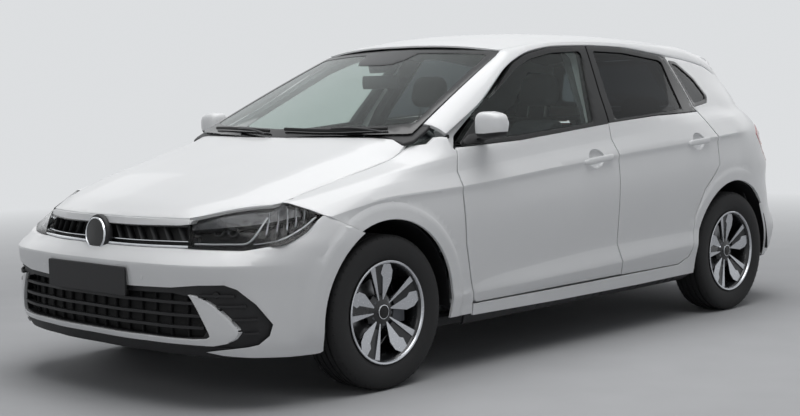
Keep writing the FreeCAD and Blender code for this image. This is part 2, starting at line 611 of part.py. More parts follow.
def body_sides():
    """Sill, pillars, roof rail and rear quarter of each side, and the fixed quarter windows."""
    outer = side_shell(DOOR_THICK, FRAME_THICK)
    inner = side_shell(DOOR_THICK + PILLAR_THICK, FRAME_THICK + PILLAR_THICK).cut(outer)
    for table in (DOOR_FRONT, DOOR_REAR):
        outer = outer.cut(plug(table, SHUT_GAP))
        inner = inner.cut(plug(table, -DOOR_LAP))
    shape = outer.fuse(inner)
    shape = shape.common(block(0, HALF + 10, POST_Y, LENGTH, 0, HEIGHT + 10))
    shape = shape.cut(NOSE.cut(NOSE_IN)).cut(prism(mirrored(BONNET), plan(600), V(0, 0, 600)))
    shape = shape.cut(tailgate_space(TAILGATE_GAP)).cut(screen_space(SEAM))
    shape = shape.cut(tail_depth(SHUT_GAP).common(tailgate_space(TAILGATE_STEP)))
    shape = shape.cut(roof_space(SEAM)).cut(tail_lamp_space(SEAM)).cut(bumper_rear_space(SEAM))
    shape = shape.cut(sector(ARCH_R, 400, HALF + 60, REAR_AXLE, AXLE_Z))
    shape = shape.cut(sector(ARCH_R, 400, HALF + 60, FRONT_AXLE, AXLE_Z))
    hole = [(y, z, radius) for (y, z, skin, lean, radius) in QUARTER]
    shape = shape.cut(prism(hole, side(300), V(HALF, 0, 0)))
    pane = greenhouse(GLASS_SEAT, 0).cut(greenhouse(GLASS_SEAT + GLASS_THICK, 0))
    pane = keep(pane.common(prism(hole, side(300), V(HALF, 0, 0), -SEAM)))
    shape = join([keep(shape.removeSplitter(), 1000000)] + hinge_pads())
    PIECES["body_side_left"] = shape
    PIECES["body_side_right"] = mirror(shape)
    PIECES["fixed_glass"] = Part.makeCompound([pane, mirror(pane)])


def screen_space(grow):
    """Room of the windscreen seen from above."""
    return prism(mirrored(SCREEN), plan(900), V(0, 0, 700), grow)


def roof_space(grow):
    """Room of the roof panel seen from above, from the windscreen to the tailgate's hinge line."""
    table = [(ROOF_HALF, f(1000), 0), (ROOF_HALF, r(TAILGATE_HINGE_Y) - SHUT_GAP - grow, 0)]
    return prism(mirrored(table), plan(1300), V(0, 0, 300), grow)


def bumper_rear_space(grow):
    return prism(BUMPER_REAR, side(-HALF - 100), V(WIDTH + 200, 0, 0), grow)


def roof_and_glass():
    shell = GREEN.cut(CABIN_TOP)
    roof = shell.common(roof_space(0)).cut(screen_space(SEAM))
    y = r(TAILGATE_HINGE_Y)
    pad = block(300, 380, y - SHUT_GAP - 20, y - SEAM, 1342, 1358)
    PIECES["roof_panel"] = join([keep(roof)] + both(pad))
    pane = greenhouse(0, GLASS_SEAT).cut(greenhouse(0, GLASS_SEAT + GLASS_THICK))
    pane = pane.common(screen_space(0)).common(block(-900, 900, f(0), f(1300), 900, HEIGHT))
    PIECES["fixed_glass"] = Part.makeCompound([keep(pane, 100000)] + PIECES["fixed_glass"].Solids)


def tailgate():
    low = LOWER.common(block(-HALF, HALF, r(350), r(TAIL + 10), 0, 1100)).cut(low_space(HALF - SKIN, f(0), True))
    high = GREEN.cut(CABIN_TOP).common(tailgate_space(0)).cut(tail_depth(SKIN))
    high = high.cut(tail_depth(TAILGATE_RIM).cut(tailgate_space(-TAILGATE_STEP)))
    shell = low.common(tailgate_space(0)).fuse(high)
    window = prism(mirrored(TAIL_WINDOW), front(r(0)), V(0, 900, 0))
    zone = tail_block(GLASS_SEAT).cut(tail_block(GLASS_SEAT + GLASS_THICK))
    pane = zone.common(GREEN).common(prism(mirrored(TAIL_WINDOW), front(r(200)), V(0, 900, 0), -SEAM))
    shell = shell.cut(window.common(block(-900, 900, r(200), r(900), 900, SPOILER_Z - 15)))
    PIECES["tailgate"] = keep(shell, 500000)
    PIECES["tailgate_glass"] = keep(pane.common(block(-900, 900, r(200), r(900), 900, SPOILER_Z - 15 - SEAM)))


def rear_end():
    low = LOWER.cut(low_space(HALF - SKIN, f(0), True))
    bumper = low.common(bumper_rear_space(0)).common(block(-HALF, HALF, r(200), r(TAIL + 10), 0, 800))
    bumper = bumper.cut(tailgate_space(SHUT_GAP)).cut(tail_lamp_space(SEAM)).cut(mirror(tail_lamp_space(SEAM)))
    for x in (1, -1):
        well = sector(ARCH_R, 400, HALF + 60, REAR_AXLE, AXLE_Z)
        bumper = bumper.cut(well if x > 0 else mirror(well))
    plate = block(-PLATE_WIDTH / 2, PLATE_WIDTH / 2, r(TAIL - 26), r(TAIL - 10), REAR_PLATE_Z, REAR_PLATE_Z + PLATE_HEIGHT)
    recess = block(-PLATE_WIDTH / 2 - SEAM, PLATE_WIDTH / 2 + SEAM, r(TAIL - 26 - SEAM), r(TAIL + 20),
                   REAR_PLATE_Z - SEAM, REAR_PLATE_Z + PLATE_HEIGHT + SEAM)
    PIECES["rear_bumper"] = keep(bumper.cut(recess), 500000)
    lamp = low.common(tail_lamp_space(0)).cut(tailgate_space(SHUT_GAP))
    PIECES["tail_lamps"] = Part.makeCompound(both(keep(lamp, 100000)))
    PIECES["number_plates"] = plate


def grille_space(table, grow):
    return prism(table, front(f(-900)), V(0, 400, 0), grow)


def front_end():
    """Wings, bonnet, bumper, grilles, lamps and plates."""
    shell = NOSE.cut(NOSE_IN)
    bumper_room = prism(BUMPER_FRONT, side(-HALF - 100), V(WIDTH + 200, 0, 0))
    upper_room = prism(mirrored(UPPER_GRILLE), front(f(-900)), V(0, 300, 0), SEAM)
    bonnet_room = prism(mirrored(BONNET), plan(BONNET_LIP_Z - SHUT_GAP), V(0, 0, 600), SHUT_GAP)
    wing = shell.common(block(0, HALF + 50, f(-600), f(DOOR_FRONT_Y) - SHUT_GAP, 0, 1100))
    wing = wing.cut(prism(BUMPER_FRONT, side(-HALF - 100), V(WIDTH + 200, 0, 0), SEAM)).cut(bonnet_room)
    wing = wing.cut(lamp_space(SEAM)).cut(sector(ARCH_R, 400, HALF + 60, FRONT_AXLE, AXLE_Z))
    wing = wing.cut(GREEN).cut(plug(DOOR_FRONT, SHUT_GAP)).cut(screen_space(SEAM))
    wing = wing.common(block(560, HALF + 50, f(-700), f(800), SILL_Z - 80, 1100))
    wing = wing.cut(block(0, CABIN_HALF, POST_Y - 31, f(800), 0, 1100)).cut(block(0, HALF - SKIN, f(0), f(800), 0, 300))
    PIECES["front_wings"] = Part.makeCompound(both(keep(wing, 1000000)))
    bumper = shell.common(bumper_room).cut(bonnet_room).cut(upper_room)
    for x in (1, -1):
        move = (lambda s: s) if x > 0 else mirror
        bumper = bumper.cut(move(lamp_space(SEAM)))
        bumper = bumper.cut(move(sector(ARCH_R, 400, HALF + 60, FRONT_AXLE, AXLE_Z)))
        bumper = bumper.cut(move(grille_space(SIDE_GRILLE, 0)))
    bumper = bumper.cut(grille_space(mirrored(LOWER_GRILLE), 0))
    bumper = bumper.cut(Part.makeCylinder(BADGE_R + SEAM, 400, V(0, f(-900), BADGE_Z), V(0, 1, 0)))
    plate = block(-PLATE_WIDTH / 2, PLATE_WIDTH / 2, f(PLATE_Y), f(PLATE_Y + 12), PLATE_Z, PLATE_Z + PLATE_HEIGHT)
    recess = block(-PLATE_WIDTH / 2 - SEAM, PLATE_WIDTH / 2 + SEAM, f(-900), f(PLATE_Y + 12 + SEAM),
                   PLATE_Z - SEAM, PLATE_Z + PLATE_HEIGHT + SEAM)
    PIECES["front_bumper"] = keep(bumper.cut(recess), 500000)
    mesh_zone = nose(-GRILLE_SET).cut(nose(-GRILLE_SET - GRILLE_DEPTH))
    grilles = [mesh_zone.common(grille_space(mirrored(LOWER_GRILLE), -SEAM)).cut(recess)]
    grilles += both(mesh_zone.common(grille_space(SIDE_GRILLE, -SEAM)))
    upper = NOSE.cut(nose(-GRILLE_DEPTH)).common(prism(mirrored(UPPER_GRILLE), front(f(-900)), V(0, 300, 0)))
    disc = Part.makeCylinder(BADGE_R, 30, V(0, f(BADGE_Y), BADGE_Z), V(0, 1, 0))
    grilles.append(upper.cut(bonnet_room).fuse(disc))
    PIECES["front_grilles"] = Part.makeCompound([keep(s) for s in grilles])
    lamp = shell.common(lamp_space(0)).cut(bonnet_room)
    lamp = lamp.cut(prism(mirrored(UPPER_GRILLE), front(f(-900)), V(0, 300, 0), SEAM))
    PIECES["headlamps"] = Part.makeCompound(both(keep(lamp, 50000)))
    bonnet = NOSE.cut(nose(-BONNET_THICK)).common(prism(mirrored(BONNET), plan(BONNET_LIP_Z), V(0, 0, 600)))
    PIECES["bonnet"] = keep(bonnet, 50000)
    PIECES["number_plates"] = Part.makeCompound([plate, PIECES["number_plates"]])


def engine_bay():
    """Bulkhead, cowl, longitudinal rails, inner wings, strut towers and front cross beam."""
    plate = block(-HALF, HALF, POST_Y - 31, POST_Y - SEAM, BODY_FLOOR_Z, 925)
    cowl = block(-HALF, HALF, f(60), POST_Y - SEAM, 895, 925)
    parts = [plate, cowl, block(-600, 600, f(-700), f(-640), 400, 520), block(-560, 560, f(-640), f(-600), 560, 640)]
    for move in ((lambda s: s), mirror):
        parts.append(move(block(405, 470, f(-660), POST_Y - 20, 300, 420)))
        parts.append(move(block(470, 480, f(-600), POST_Y - 20, 300, 780)))
        parts.append(move(block(480, 700, f(-95), f(95), STEER_TOP_Z + 3.2, STEER_TOP_Z + 15)))
        parts.append(move(block(694, 740, f(-420), POST_Y - 20, 700, 900)))
    shape = join(parts).common(BAY)
    under_bonnet = nose(-BONNET_THICK - SEAM)
    hinge_post = block(640, 676, f(215), f(270), 820, 1000).common(under_bonnet)
    hinge_post = hinge_post.fuse(block(640, 700, f(215), f(270), 820, 845))
    latch_post = block(-30, 30, f(-640), f(-605), 600, 900).common(under_bonnet)
    shape = join([shape, latch_post] + both(hinge_post))
    shape = shape.cut(lamp_space(SEAM)).cut(mirror(lamp_space(SEAM)))
    for x in (1, -1):
        well = sector(ARCH_R, 480, HALF + 60, FRONT_AXLE, AXLE_Z)
        shape = shape.cut(well if x > 0 else mirror(well))
    PIECES["engine_bay"] = keep(shape, 50000)


def floor():
    """Floor with tunnel, raised rear floor and spare wheel well."""
    w = CABIN_HALF - SEAM
    step_y = r(-680)
    parts = [block(-w, w, POST_Y, step_y, BODY_FLOOR_Z, BODY_FLOOR_Z + 35)]
    parts.append(block(-110, 110, POST_Y, step_y, BODY_FLOOR_Z, 330))
    parts.append(block(-w, w, step_y - 20, step_y, BODY_FLOOR_Z, 430))
    parts.append(block(-w, w, step_y - 20, r(596), 400, 430).common(low_space(HALF - SKIN - SEAM, f(0), True)))
    well = Part.makeCylinder(310, 180, V(0, r(270), 250), V(0, 0, 1))
    parts.append(well)
    shape = join(parts)
    shape = shape.cut(Part.makeCylinder(295, 300, V(0, r(270), 265), V(0, 0, 1)))
    shape = shape.cut(block(-90, 90, POST_Y - 10, step_y - 20, BODY_FLOOR_Z - 10, 310))
    for well in arches(ARCH_R + SEAM, 480, REAR_WELL_X - 6 - SEAM):
        shape = shape.cut(well).cut(mirror(well))
    PIECES["floor_pan"] = keep(shape, 50000)


def liners():
    """Four wheel arch liners, half shells with the rear ones closed inwards."""
    shells = []
    for y, inner in ((FRONT_AXLE, 482.0), (REAR_AXLE, REAR_WELL_X)):
        outer_x = HALF - 40
        shell = Part.makeCylinder(ARCH_R - SEAM, outer_x - inner, V(inner, y, AXLE_Z), V(1, 0, 0))
        shell = shell.cut(Part.makeCylinder(ARCH_R - LINER_THICK, outer_x, V(inner, y, AXLE_Z), V(1, 0, 0)))
        shells.append(shell.common(block(0, HALF, y - ARCH_R, y + ARCH_R, AXLE_Z - 20, AXLE_Z + ARCH_R)))
    cheek = Part.makeCylinder(ARCH_R - SEAM, 6, V(REAR_WELL_X - 6 + 0.01, REAR_AXLE, AXLE_Z), V(1, 0, 0))
    cheek = cheek.common(block(0, HALF, REAR_AXLE - ARCH_R, REAR_AXLE + ARCH_R, 400, AXLE_Z + ARCH_R))
    shells[1] = shells[1].fuse(cheek)
    passage = Part.makeCylinder(86, 500, strut_point(0.5), strut_point(1.0) - strut_point(0.5))
    shells[0] = shells[0].cut(passage)
    PIECES["wheel_arch_liners"] = Part.makeCompound(both(keep(shells[0])) + both(keep(shells[1].removeSplitter())))


def engine():
    """One plain block with ears that rest on the rails."""
    block_shape = block(-300, 330, f(-330), f(20), 262, 740)
    ears = block(-440, 440, f(-190), f(-130), 420, 470)
    PIECES["engine_block"] = block_shape.fuse(ears).removeSplitter()


def seats():
    profile = [(f(950), 330, 30), (f(945), 500, 40), (f(1330), 470, 40), (f(1500), 1070, 40), (f(1600), 1050, 40),
               (f(1450), 400, 60), (f(1440), BODY_FLOOR_Z + 35, 0), (f(1000), BODY_FLOOR_Z + 35, 0)]
    seat = prism(profile, side(SEAT_X - 245), V(490, 0, 0))
    post = block(SEAT_X - 60, SEAT_X + 60, f(1525), f(1560), 1040, 1120)
    rest = prism([(f(1500), 1105, 30), (f(1500), 1255, 30), (f(1590), 1265, 40), (f(1600), 1110, 20)],
                 side(SEAT_X - 125), V(250, 0, 0))
    PIECES["front_seats"] = Part.makeCompound(both(join([seat, post, rest])))
    bench = prism([(r(-690), 430, 0), (r(-700), 560, 50), (r(-330), 530, 30), (r(-190), 990, 40), (r(-110), 985, 30),
                   (r(-200), 430, 0)], side(-640), V(1280, 0, 0))
    rests = [prism([(r(-180), 980, 0), (r(-165), 1130, 30), (r(-95), 1130, 30), (r(-105), 975, 0)],
                   side(x - 120), V(240, 0, 0)) for x in (-SEAT_X, SEAT_X)]
    shape = join([bench] + rests)
    for well in arches(ARCH_R + 1, 300, REAR_WELL_X - 7):
        shape = shape.cut(well).cut(mirror(well))
    PIECES["rear_bench"] = keep(shape)


def dashboard():
    profile = [(POST_Y, 640, 0), (POST_Y, 930, 0), (f(420), 965, 30), (f(560), 955, 40), (f(650), 850, 40),
               (f(640), 640, 40), (f(480), 560, 30)]
    shape = prism(profile, side(-CABIN_HALF + SEAM), V(2 * (CABIN_HALF - SEAM), 0, 0))
    console = block(-105, 105, f(470), f(1150), 330, 520).fuse(block(-105, 105, f(470), f(600), 330, 700))
    column = Part.makeCylinder(34, 130, V(SEAT_X, f(600), 790), V(0, 1, 0.36))
    way = V(0, 1, 0.36)
    start = V(SEAT_X, f(726), 836)
    wheel_ring = Part.makeTorus(178, 14, start, way)
    boss = Part.makeCylinder(60, 26, start - V(0, 1, 0.36).normalize() * 16, way)
    spokes = []
    for angle in (0, 180, 270):
        spoke = block(SEAT_X, SEAT_X + 176, start.y - 8, start.y + 8, start.z - 16, start.z + 16)
        spoke.rotate(start, V(0, 1, 0), angle)
        spoke.rotate(start, V(1, 0, 0), math.degrees(math.atan(0.36)))
        spokes.append(spoke)
    PIECES["steering_wheel"] = join([wheel_ring, boss] + spokes)
    column_end = Part.makeCylinder(400, 300, start - V(0, 1, 0.36).normalize() * (16 + SEAM), way)
    shape = join([shape, console, column]).cut(column_end)
    low = shape.common(block(-HALF, HALF, -LENGTH, LENGTH, 0, 925))
    PIECES["dashboard"] = keep(low.fuse(shape.common(CABIN_TOP)).removeSplitter())


def underbody():
    tank = block(-400, 400, r(-655), r(-385), 200, 400 - SEAM)
    muffler = prism([(-560, 240, 50), (-560, 380, 50), (-330, 380, 50), (-330, 240, 50)], front(r(330)), V(0, 230, 0))
    hanger = block(-470, -420, r(420), r(450), 375, 400)
    PIECES["exhaust_and_tank"] = Part.makeCompound([tank, muffler.fuse(hanger).removeSplitter()])


def mirrors():
    arm = prism([(f(500), 950, 0), (f(500), 985, 8), (f(590), 990, 8), (f(590), 965, 0)], side(806), V(80, 0, 0))
    shell = prism([(f(520), 985, 26), (f(505), 1040, 40), (f(540), 1080, 40), (f(635), 1083, 20), (f(640), 984, 20)],
                  side(860), V(MIRROR_X - 860, 0, 0))
    shape = arm.fuse(shell).removeSplitter()
    shape = keep(shape.cut(PIECES["door_front_left"]))
    PIECES["mirror_left"] = shape
    PIECES["mirror_right"] = mirror(shape)


for step in (wheels, knuckles, suspension, doors, body_sides, roof_and_glass, tailgate, rear_end, front_end,
             engine_bay, floor, liners, engine, seats, dashboard, underbody, mirrors):
    step()

for name, shape in PIECES.items():
    shape.exportStep("parts/%s.step" % name)
    box = shape.BoundBox
    print(name, len(shape.Solids), [round(q.Volume / 1e6, 2) for q in shape.Solids], shape.isValid(),
          [round(q) for q in (box.XMin, box.YMin, box.ZMin, box.XMax, box.YMax, box.ZMax)])
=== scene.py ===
"""Looks of a white five-door hatchback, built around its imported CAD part.

Lengths are millimetres. y runs rearwards from the front axle, x to the car's left and z up.
put() brings them into the row frame, in metres, with the car's middle at the origin.
"""

import math

import bpy
import numpy as np
from mathutils import Matrix, Vector
from mathutils.geometry import delaunay_2d_cdt


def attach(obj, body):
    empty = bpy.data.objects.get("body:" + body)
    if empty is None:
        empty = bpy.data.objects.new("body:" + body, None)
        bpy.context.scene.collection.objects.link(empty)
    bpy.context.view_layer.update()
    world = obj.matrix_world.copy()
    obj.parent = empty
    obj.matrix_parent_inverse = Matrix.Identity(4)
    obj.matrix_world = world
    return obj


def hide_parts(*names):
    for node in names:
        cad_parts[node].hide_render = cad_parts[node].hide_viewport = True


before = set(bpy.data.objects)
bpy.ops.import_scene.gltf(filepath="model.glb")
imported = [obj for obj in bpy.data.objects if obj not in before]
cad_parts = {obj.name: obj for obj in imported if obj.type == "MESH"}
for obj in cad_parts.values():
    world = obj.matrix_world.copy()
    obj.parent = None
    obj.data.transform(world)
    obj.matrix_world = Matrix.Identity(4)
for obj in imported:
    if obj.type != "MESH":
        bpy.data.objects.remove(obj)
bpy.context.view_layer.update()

FRONT_AXLE = -1212.0
REAR = 2552.0
AXLE_Z = 304.0
FRONT_TRACK = 1525.0
REAR_TRACK = 1505.0
ARCH_CUT = 372.0
ARCH_CREASE = 439.0
ARCH_FLARE = 7.0
ARCH_ROLL = 16.0
GRID = 26.0
UP = (0.0, 0.0, 1.0)
BACK = (0.0, 1.0, 0.0)
ACROSS = (1.0, 0.0, 0.0)
SIDES = (("left", False), ("right", True))


# Tables and curves


def table(text):
    """Rows of numbers from lines of text."""
    return [[float(word) for word in line.split()] for line in text.strip().splitlines()]


def smooth(knots, values):
    """A curve through the knots without overshoot: f(x) for arrays of x."""
    x = np.asarray(knots, float)
    v = np.asarray(values, float)
    h = np.diff(x)
    step = np.diff(v) / h
    slope = np.zeros(len(x))
    slope[0] = step[0]
    slope[-1] = step[-1]
    for i in range(1, len(x) - 1):
        if step[i - 1] * step[i] > 0:
            a = 2.0 * h[i] + h[i - 1]
            b = h[i] + 2.0 * h[i - 1]
            slope[i] = (a + b) / (a / step[i - 1] + b / step[i])

    def curve(at):
        at = np.asarray(at, float)
        i = np.clip(np.searchsorted(x, at) - 1, 0, len(x) - 2)
        width = h[i]
        t = (at - x[i]) / width
        inside = np.clip(t, 0.0, 1.0)
        h00 = (1 + 2 * inside) * (1 - inside) ** 2
        h10 = inside * (1 - inside) ** 2
        h01 = inside**2 * (3 - 2 * inside)
        h11 = inside**2 * (inside - 1)
        value = h00 * v[i] + h10 * width * slope[i] + h01 * v[i + 1] + h11 * width * slope[i + 1]
        beyond = np.where(t < 0, (at - x[i]) * slope[i], 0.0)
        return value + beyond + np.where(t > 1, (at - x[i + 1]) * slope[i + 1], 0.0)

    return curve


def section(sharp, across, up, at):
    """Points on sections given by rows: across and up are arrays of rows by points. sharp marks the rows with
    a crease, and at is each point's place up its section. Returns the place across."""
    count = len(sharp)
    h = np.maximum(np.diff(up, axis=0), 0.5)
    step = np.diff(across, axis=0) / h
    after = np.zeros_like(across)
    before = np.zeros_like(across)
    after[:-1] = step
    after[-1] = step[-1]
    before[1:] = step
    before[0] = step[0]
    for i in range(1, count - 1):
        if not sharp[i]:
            same = step[i - 1] * step[i] > 0
            flat = 2 * step[i - 1] * step[i] / np.where(same, step[i - 1] + step[i], 1.0)
            both = np.where(same, flat, 0.0)
            after[i] = both
            before[i] = both
    row = np.clip((at[None, :] >= up).sum(axis=0) - 1, 0, count - 2)
    k = np.arange(len(at))
    width = h[row, k]
    t = (at - up[row, k]) / width
    s = np.clip(t, 0.0, 1.0)
    value = (1 + 2 * s) * (1 - s) ** 2 * across[row, k] + s * (1 - s) ** 2 * width * after[row, k]
    value += s**2 * (3 - 2 * s) * across[row + 1, k] + s**2 * (s - 1) * width * before[row + 1, k]
    value += np.where(t < 0, (at - up[row, k]) * after[row, k], 0.0)
    return value + np.where(t > 1, (at - up[row + 1, k]) * before[row + 1, k], 0.0)


# The body's surfaces


FLANK_AT = [-330, 0, 431, 1000, 1525, 2100, 2400, 2700, 2960]
FLANK_ROWS = {
    "under": (0, table("800 800 800 800 800 800 790 765 720\n215 190 184 186 188 192 205 222 240")),
    "sill": (1, table("842 838 838 838 838 838 832 812 775\n235 212 203 207 212 220 232 245 258")),
    "ledge": (1, table("846 845 843 846 848 846 842 828 795\n290 280 276 281 287 292 300 310 320")),
    "swage_low": (1, table("852 853 856 869 872 870 850 837 805\n340 332 328 340 354 377 382 388 395")),
    "swage": (1, table("854 854 853 855 857 856 856 842 811\n395 392 385 410 436 446 450 455 460")),
    "widest": (0, table("864 869 870 874 875.5 874 868 850 818\n600 640 660 690 720 740 750 755 760")),
    "shade": (0, table("848 862 866 868 868 863 851 825 785\n692 746 763 804 842 874 892 906 916")),
    "tornado": (1, table("845 866 871 873 873 868 856 830 790\n706 760 777 818 856 888 906 920 930")),
    "shoulder": (1, table("800 832 836 839 838 828 802 783 748\n734 805 838 889 932 973 991 1005 1016")),
    "crease": (1, table("718 776 822 823 819 797 752 716 680\n772 836 903 957 1003 1030 1042 1048 1050")),
    "top": (0, table("668 697 772 776 770 748 704 670 636\n774 858 985 1010 1052 1080 1092 1096 1098")),
}
ROW_NAMES = list(FLANK_ROWS)
ROW_SHARP = [FLANK_ROWS[name][0] for name in ROW_NAMES]
ROW_X = [smooth(FLANK_AT, FLANK_ROWS[name][1][0]) for name in ROW_NAMES]
ROW_Z = [smooth(FLANK_AT, FLANK_ROWS[name][1][1]) for name in ROW_NAMES]
ROW_Z[4] = smooth([-330, 0, 300, 431, 500, 578, 890, 1518, 1979, 2100, 2400, 2700, 2960],
                   [395, 392, 372, 338, 357, 377, 404, 437, 444, 446, 450, 455, 460])
ROW_X[-1] = smooth([-400, -292, -53, 167, 242, 306, 384, 431, 1000, 1525, 2100, 2700],
                   [660, 672, 690, 705, 705, 703, 742, 772, 776, 770, 748, 670])
ROW_Z[-1] = smooth([-400, -292, -53, 167, 242, 306, 384, 431, 1000, 1525, 2100, 2700],
                   [754, 782, 842, 895, 924, 952, 985, 985, 1010, 1052, 1080, 1096])
CREASE = ROW_NAMES.index("crease")


def flank_rows(y):
    """The rows' x, their z, and their place up the section: z to the crease, and on along the surface."""
    across = np.array([f(y) for f in ROW_X])
    height = np.array([f(y) for f in ROW_Z])
    place = height.copy()
    last = np.hypot(across[CREASE] - across[-1], height[CREASE] - height[-1])
    place[-1] = place[CREASE] + last
    return across, height, place


def arch_rise(y, z):
    """How far an arch's flare stands out, y being the way from its axle: 0 beyond the arch's crease."""
    rise = np.clip((ARCH_CREASE - np.hypot(y, z - AXLE_Z)) / ARCH_ROLL, 0.0, 1.0)
    return ARCH_FLARE * rise * rise * (3 - 2 * rise)


def flank(points):
    """The side from the sill to the belt, and the wing's top: points are (y, place up the section)."""
    y = points[:, 0]
    v = points[:, 1]
    across, height, place = flank_rows(y)
    x = section(ROW_SHARP, across, place, v)
    z = section([1] * len(ROW_SHARP), height, place, v)
    for axle in (0.0, REAR):
        x = x + arch_rise(y - axle, z) * np.clip((z - 205.0) / 60.0, 0.0, 1.0)
    return np.stack([x, y, z], axis=1)


def flank_columns(y):
    """Places up the section at y where points are wanted: close on each side of a crease."""
    places = []
    for at, sharp in zip(flank_rows(np.array([y]))[2][:, 0], ROW_SHARP):
        places += [at - 3.5, at + 3.5] if sharp else [at]
    return places


SIDE_LINE = smooth([-100, 200, 396, 1032, 1550, 2215, 2569, 2800, 2950],
                   [600, 634, 649, 691, 702, 686, 641, 590, 545])
SIDE_TOP = smooth([431, 700, 1032, 1200, 1400, 1650, 1906, 2200, 2400, 2569, 2700, 2830],
                  [985, 1109, 1294, 1345, 1368, 1372, 1365, 1335, 1312, 1290, 1268, 1215])
ROOF_LINE = smooth([1000, 1040, 1100, 1250, 1400, 1650, 2000, 2350, 2500, 2700, 2887],
                   [1390, 1400, 1408, 1428, 1439, 1445, 1442, 1427, 1414, 1378, 1336])
ROOF_EDGE = smooth([1000, 1040, 1200, 1500, 2000, 2400, 2700, 2887],
                   [566, 563, 559, 562, 560, 552, 525, 492])


def roof_height(x, y):
    return ROOF_LINE(y) - 54.0 * (np.abs(x) / 575.0) ** 2.4


def screen_height(x, y):
    return 880.0 + 0.459 * (y + 92.0 - x * x / 2700.0) + 10.0 * (1.0 - ((y - 560.0) / 460.0) ** 2)


def side_x(y, z):
    return SIDE_LINE(y) - 0.569 * (z - 1200.0) - 1.2e-4 * (z - 1200.0) ** 2


def rail(points):
    """The cant rail from the side windows to the roof's ditch or the windscreen: points are (y, share up)."""
    y = points[:, 0]
    t = points[:, 1]
    low_z = SIDE_TOP(y)
    low_x = side_x(y, low_z)
    screen_x = 694.0 - (y - 318.0) * 0.1731
    ahead = np.clip((1060.0 - y) / 60.0, 0.0, 1.0)
    high_x = ahead * screen_x + (1 - ahead) * ROOF_EDGE(y)
    high_z = ahead * screen_height(screen_x, y) + (1 - ahead) * roof_height(ROOF_EDGE(y), y)
    high_x = np.minimum(high_x, low_x - 2.0)
    bulge = 9.0 * np.sin(np.pi * np.clip(t, 0, 1))
    dx = low_x - high_x
    dz = high_z - low_z
    size = np.hypot(dx, dz)
    x = low_x - dx * t + bulge * dz / size
    z = low_z + dz * t + bulge * dx / size
    return np.stack([x, y, z], axis=1)


def over(height):
    """A surface from its height at x and y: points are (x, y)."""
    return lambda points: np.insert(points, 2, height(points[:, 0], points[:, 1]), axis=1)


def plane(axis, at):
    """A flat surface square to an axis, 0 for x to 2 for z: points are the two other places in order."""
    return lambda points: np.insert(points, axis, at, axis=1)


roof = over(roof_height)
windscreen = over(screen_height)


BONNET_LINE = smooth([-742, -725, -650, -560, -430, -300, -150, 0, 130, 200, 300],
                     [714, 723, 762, 795, 838, 874, 915, 954, 985, 998, 1010])
BONNET_EDGE = smooth([-742, -571, -470, -240, -29, 46, 118], [459, 655, 672, 690, 705, 705, 690])
BONNET_DROP = smooth([-742, -650, -571, -470, -240, -29, 46, 118], [0, 22, 35, 43, 48, 51, 35, 9])


def bonnet_surface(points):
    x = points[:, 0]
    y = points[:, 1]
    along = y - 83.0 * (x / 459.0) ** 2
    along = np.clip(along, -742.0, 300.0)
    share = np.abs(x) / BONNET_EDGE(along)
    inner = 0.25 * share**2
    outer = 0.152 + (share - 0.78) / 0.22 * 0.848
    fall = np.where(share < 0.78, inner, outer)
    return np.stack([x, y, BONNET_LINE(along) - BONNET_DROP(along) * fall], axis=1)


# Levels of the nose and of the tail: (x, y) points from the middle to the side


NOSE_PIVOT = -100.0
NOSE = (
    (215, table("0 -775\n300 -765\n500 -735\n640 -690\n745 -610\n800 -520\n826 -400\n836 -200\n838 -60")),
    (250, table("0 -796\n300 -786\n500 -756\n645 -706\n755 -618\n813 -520\n838 -390\n846 -200\n846 -60")),
    (300, table("0 -812\n300 -800\n500 -772\n650 -712\n765 -620\n822 -510\n847 -370\n856 -180\n856 -60")),
    (450, table("0 -811\n300 -799\n500 -768\n650 -715\n768 -620\n832 -505\n857 -360\n866 -170\n867 -60")),
    (546, table("0 -817\n300 -807\n500 -776\n650 -725\n770 -628\n838 -505\n862 -350\n870 -160\n871 -60")),
    (606, table("0 -765\n300 -748\n491 -690\n640 -645\n765 -575\n838 -480\n864 -340\n872 -155\n873 -60")),
    (660, table("0 -752\n300 -730\n475 -676\n620 -620\n745 -535\n822 -440\n856 -320\n870 -150\n871 -60")),
    (716, table("0 -742\n300 -712\n459 -660\n600 -590\n720 -490\n800 -400\n840 -300\n858 -150\n862 -60")),
)
TAIL_PIVOT = REAR + 120.0
TAIL = (
    (215, table("0 3150\n300 3140\n560 3110\n690 3060\n770 2980\n812 2880\n830 2780\n836 2640")),
    (300, table("0 3215\n300 3205\n560 3178\n700 3130\n775 3055\n818 2940\n842 2800\n852 2640")),
    (400, table("0 3245\n300 3237\n560 3208\n700 3162\n762 3115\n815 2985\n846 2830\n860 2640")),
    (520, table("0 3246\n300 3236\n560 3198\n690 3140\n752 3070\n808 2960\n847 2825\n864 2640")),
    (600, table("0 3236\n300 3225\n560 3186\n682 3132\n746 3064\n805 2952\n847 2820\n866 2640")),
    (660, table("0 3192\n300 3184\n540 3164\n655 3136\n725 3085\n800 2950\n847 2808\n866 2640")),
    (737, table("0 3190\n300 3182\n540 3160\n640 3140\n700 3113\n760 3040\n812 2930\n846 2800\n864 2640")),
    (806, table("0 3186\n300 3178\n540 3150\n640 3125\n700 3084\n756 3008\n804 2908\n838 2790\n858 2640")),
    (915, table("0 3150\n300 3142\n540 3112\n632 3085\n700 3044\n746 2974\n780 2896\n810 2790\n836 2640")),
    (1000, table("0 3096\n300 3086\n540 3052\n620 3022\n680 2978\n712 2920\n738 2846\n762 2750\n778 2640")),
    (1060, table("0 3013\n300 2992\n520 2960\n600 2935\n645 2902\n676 2850\n698 2780\n714 2700\n722 2640")),
)


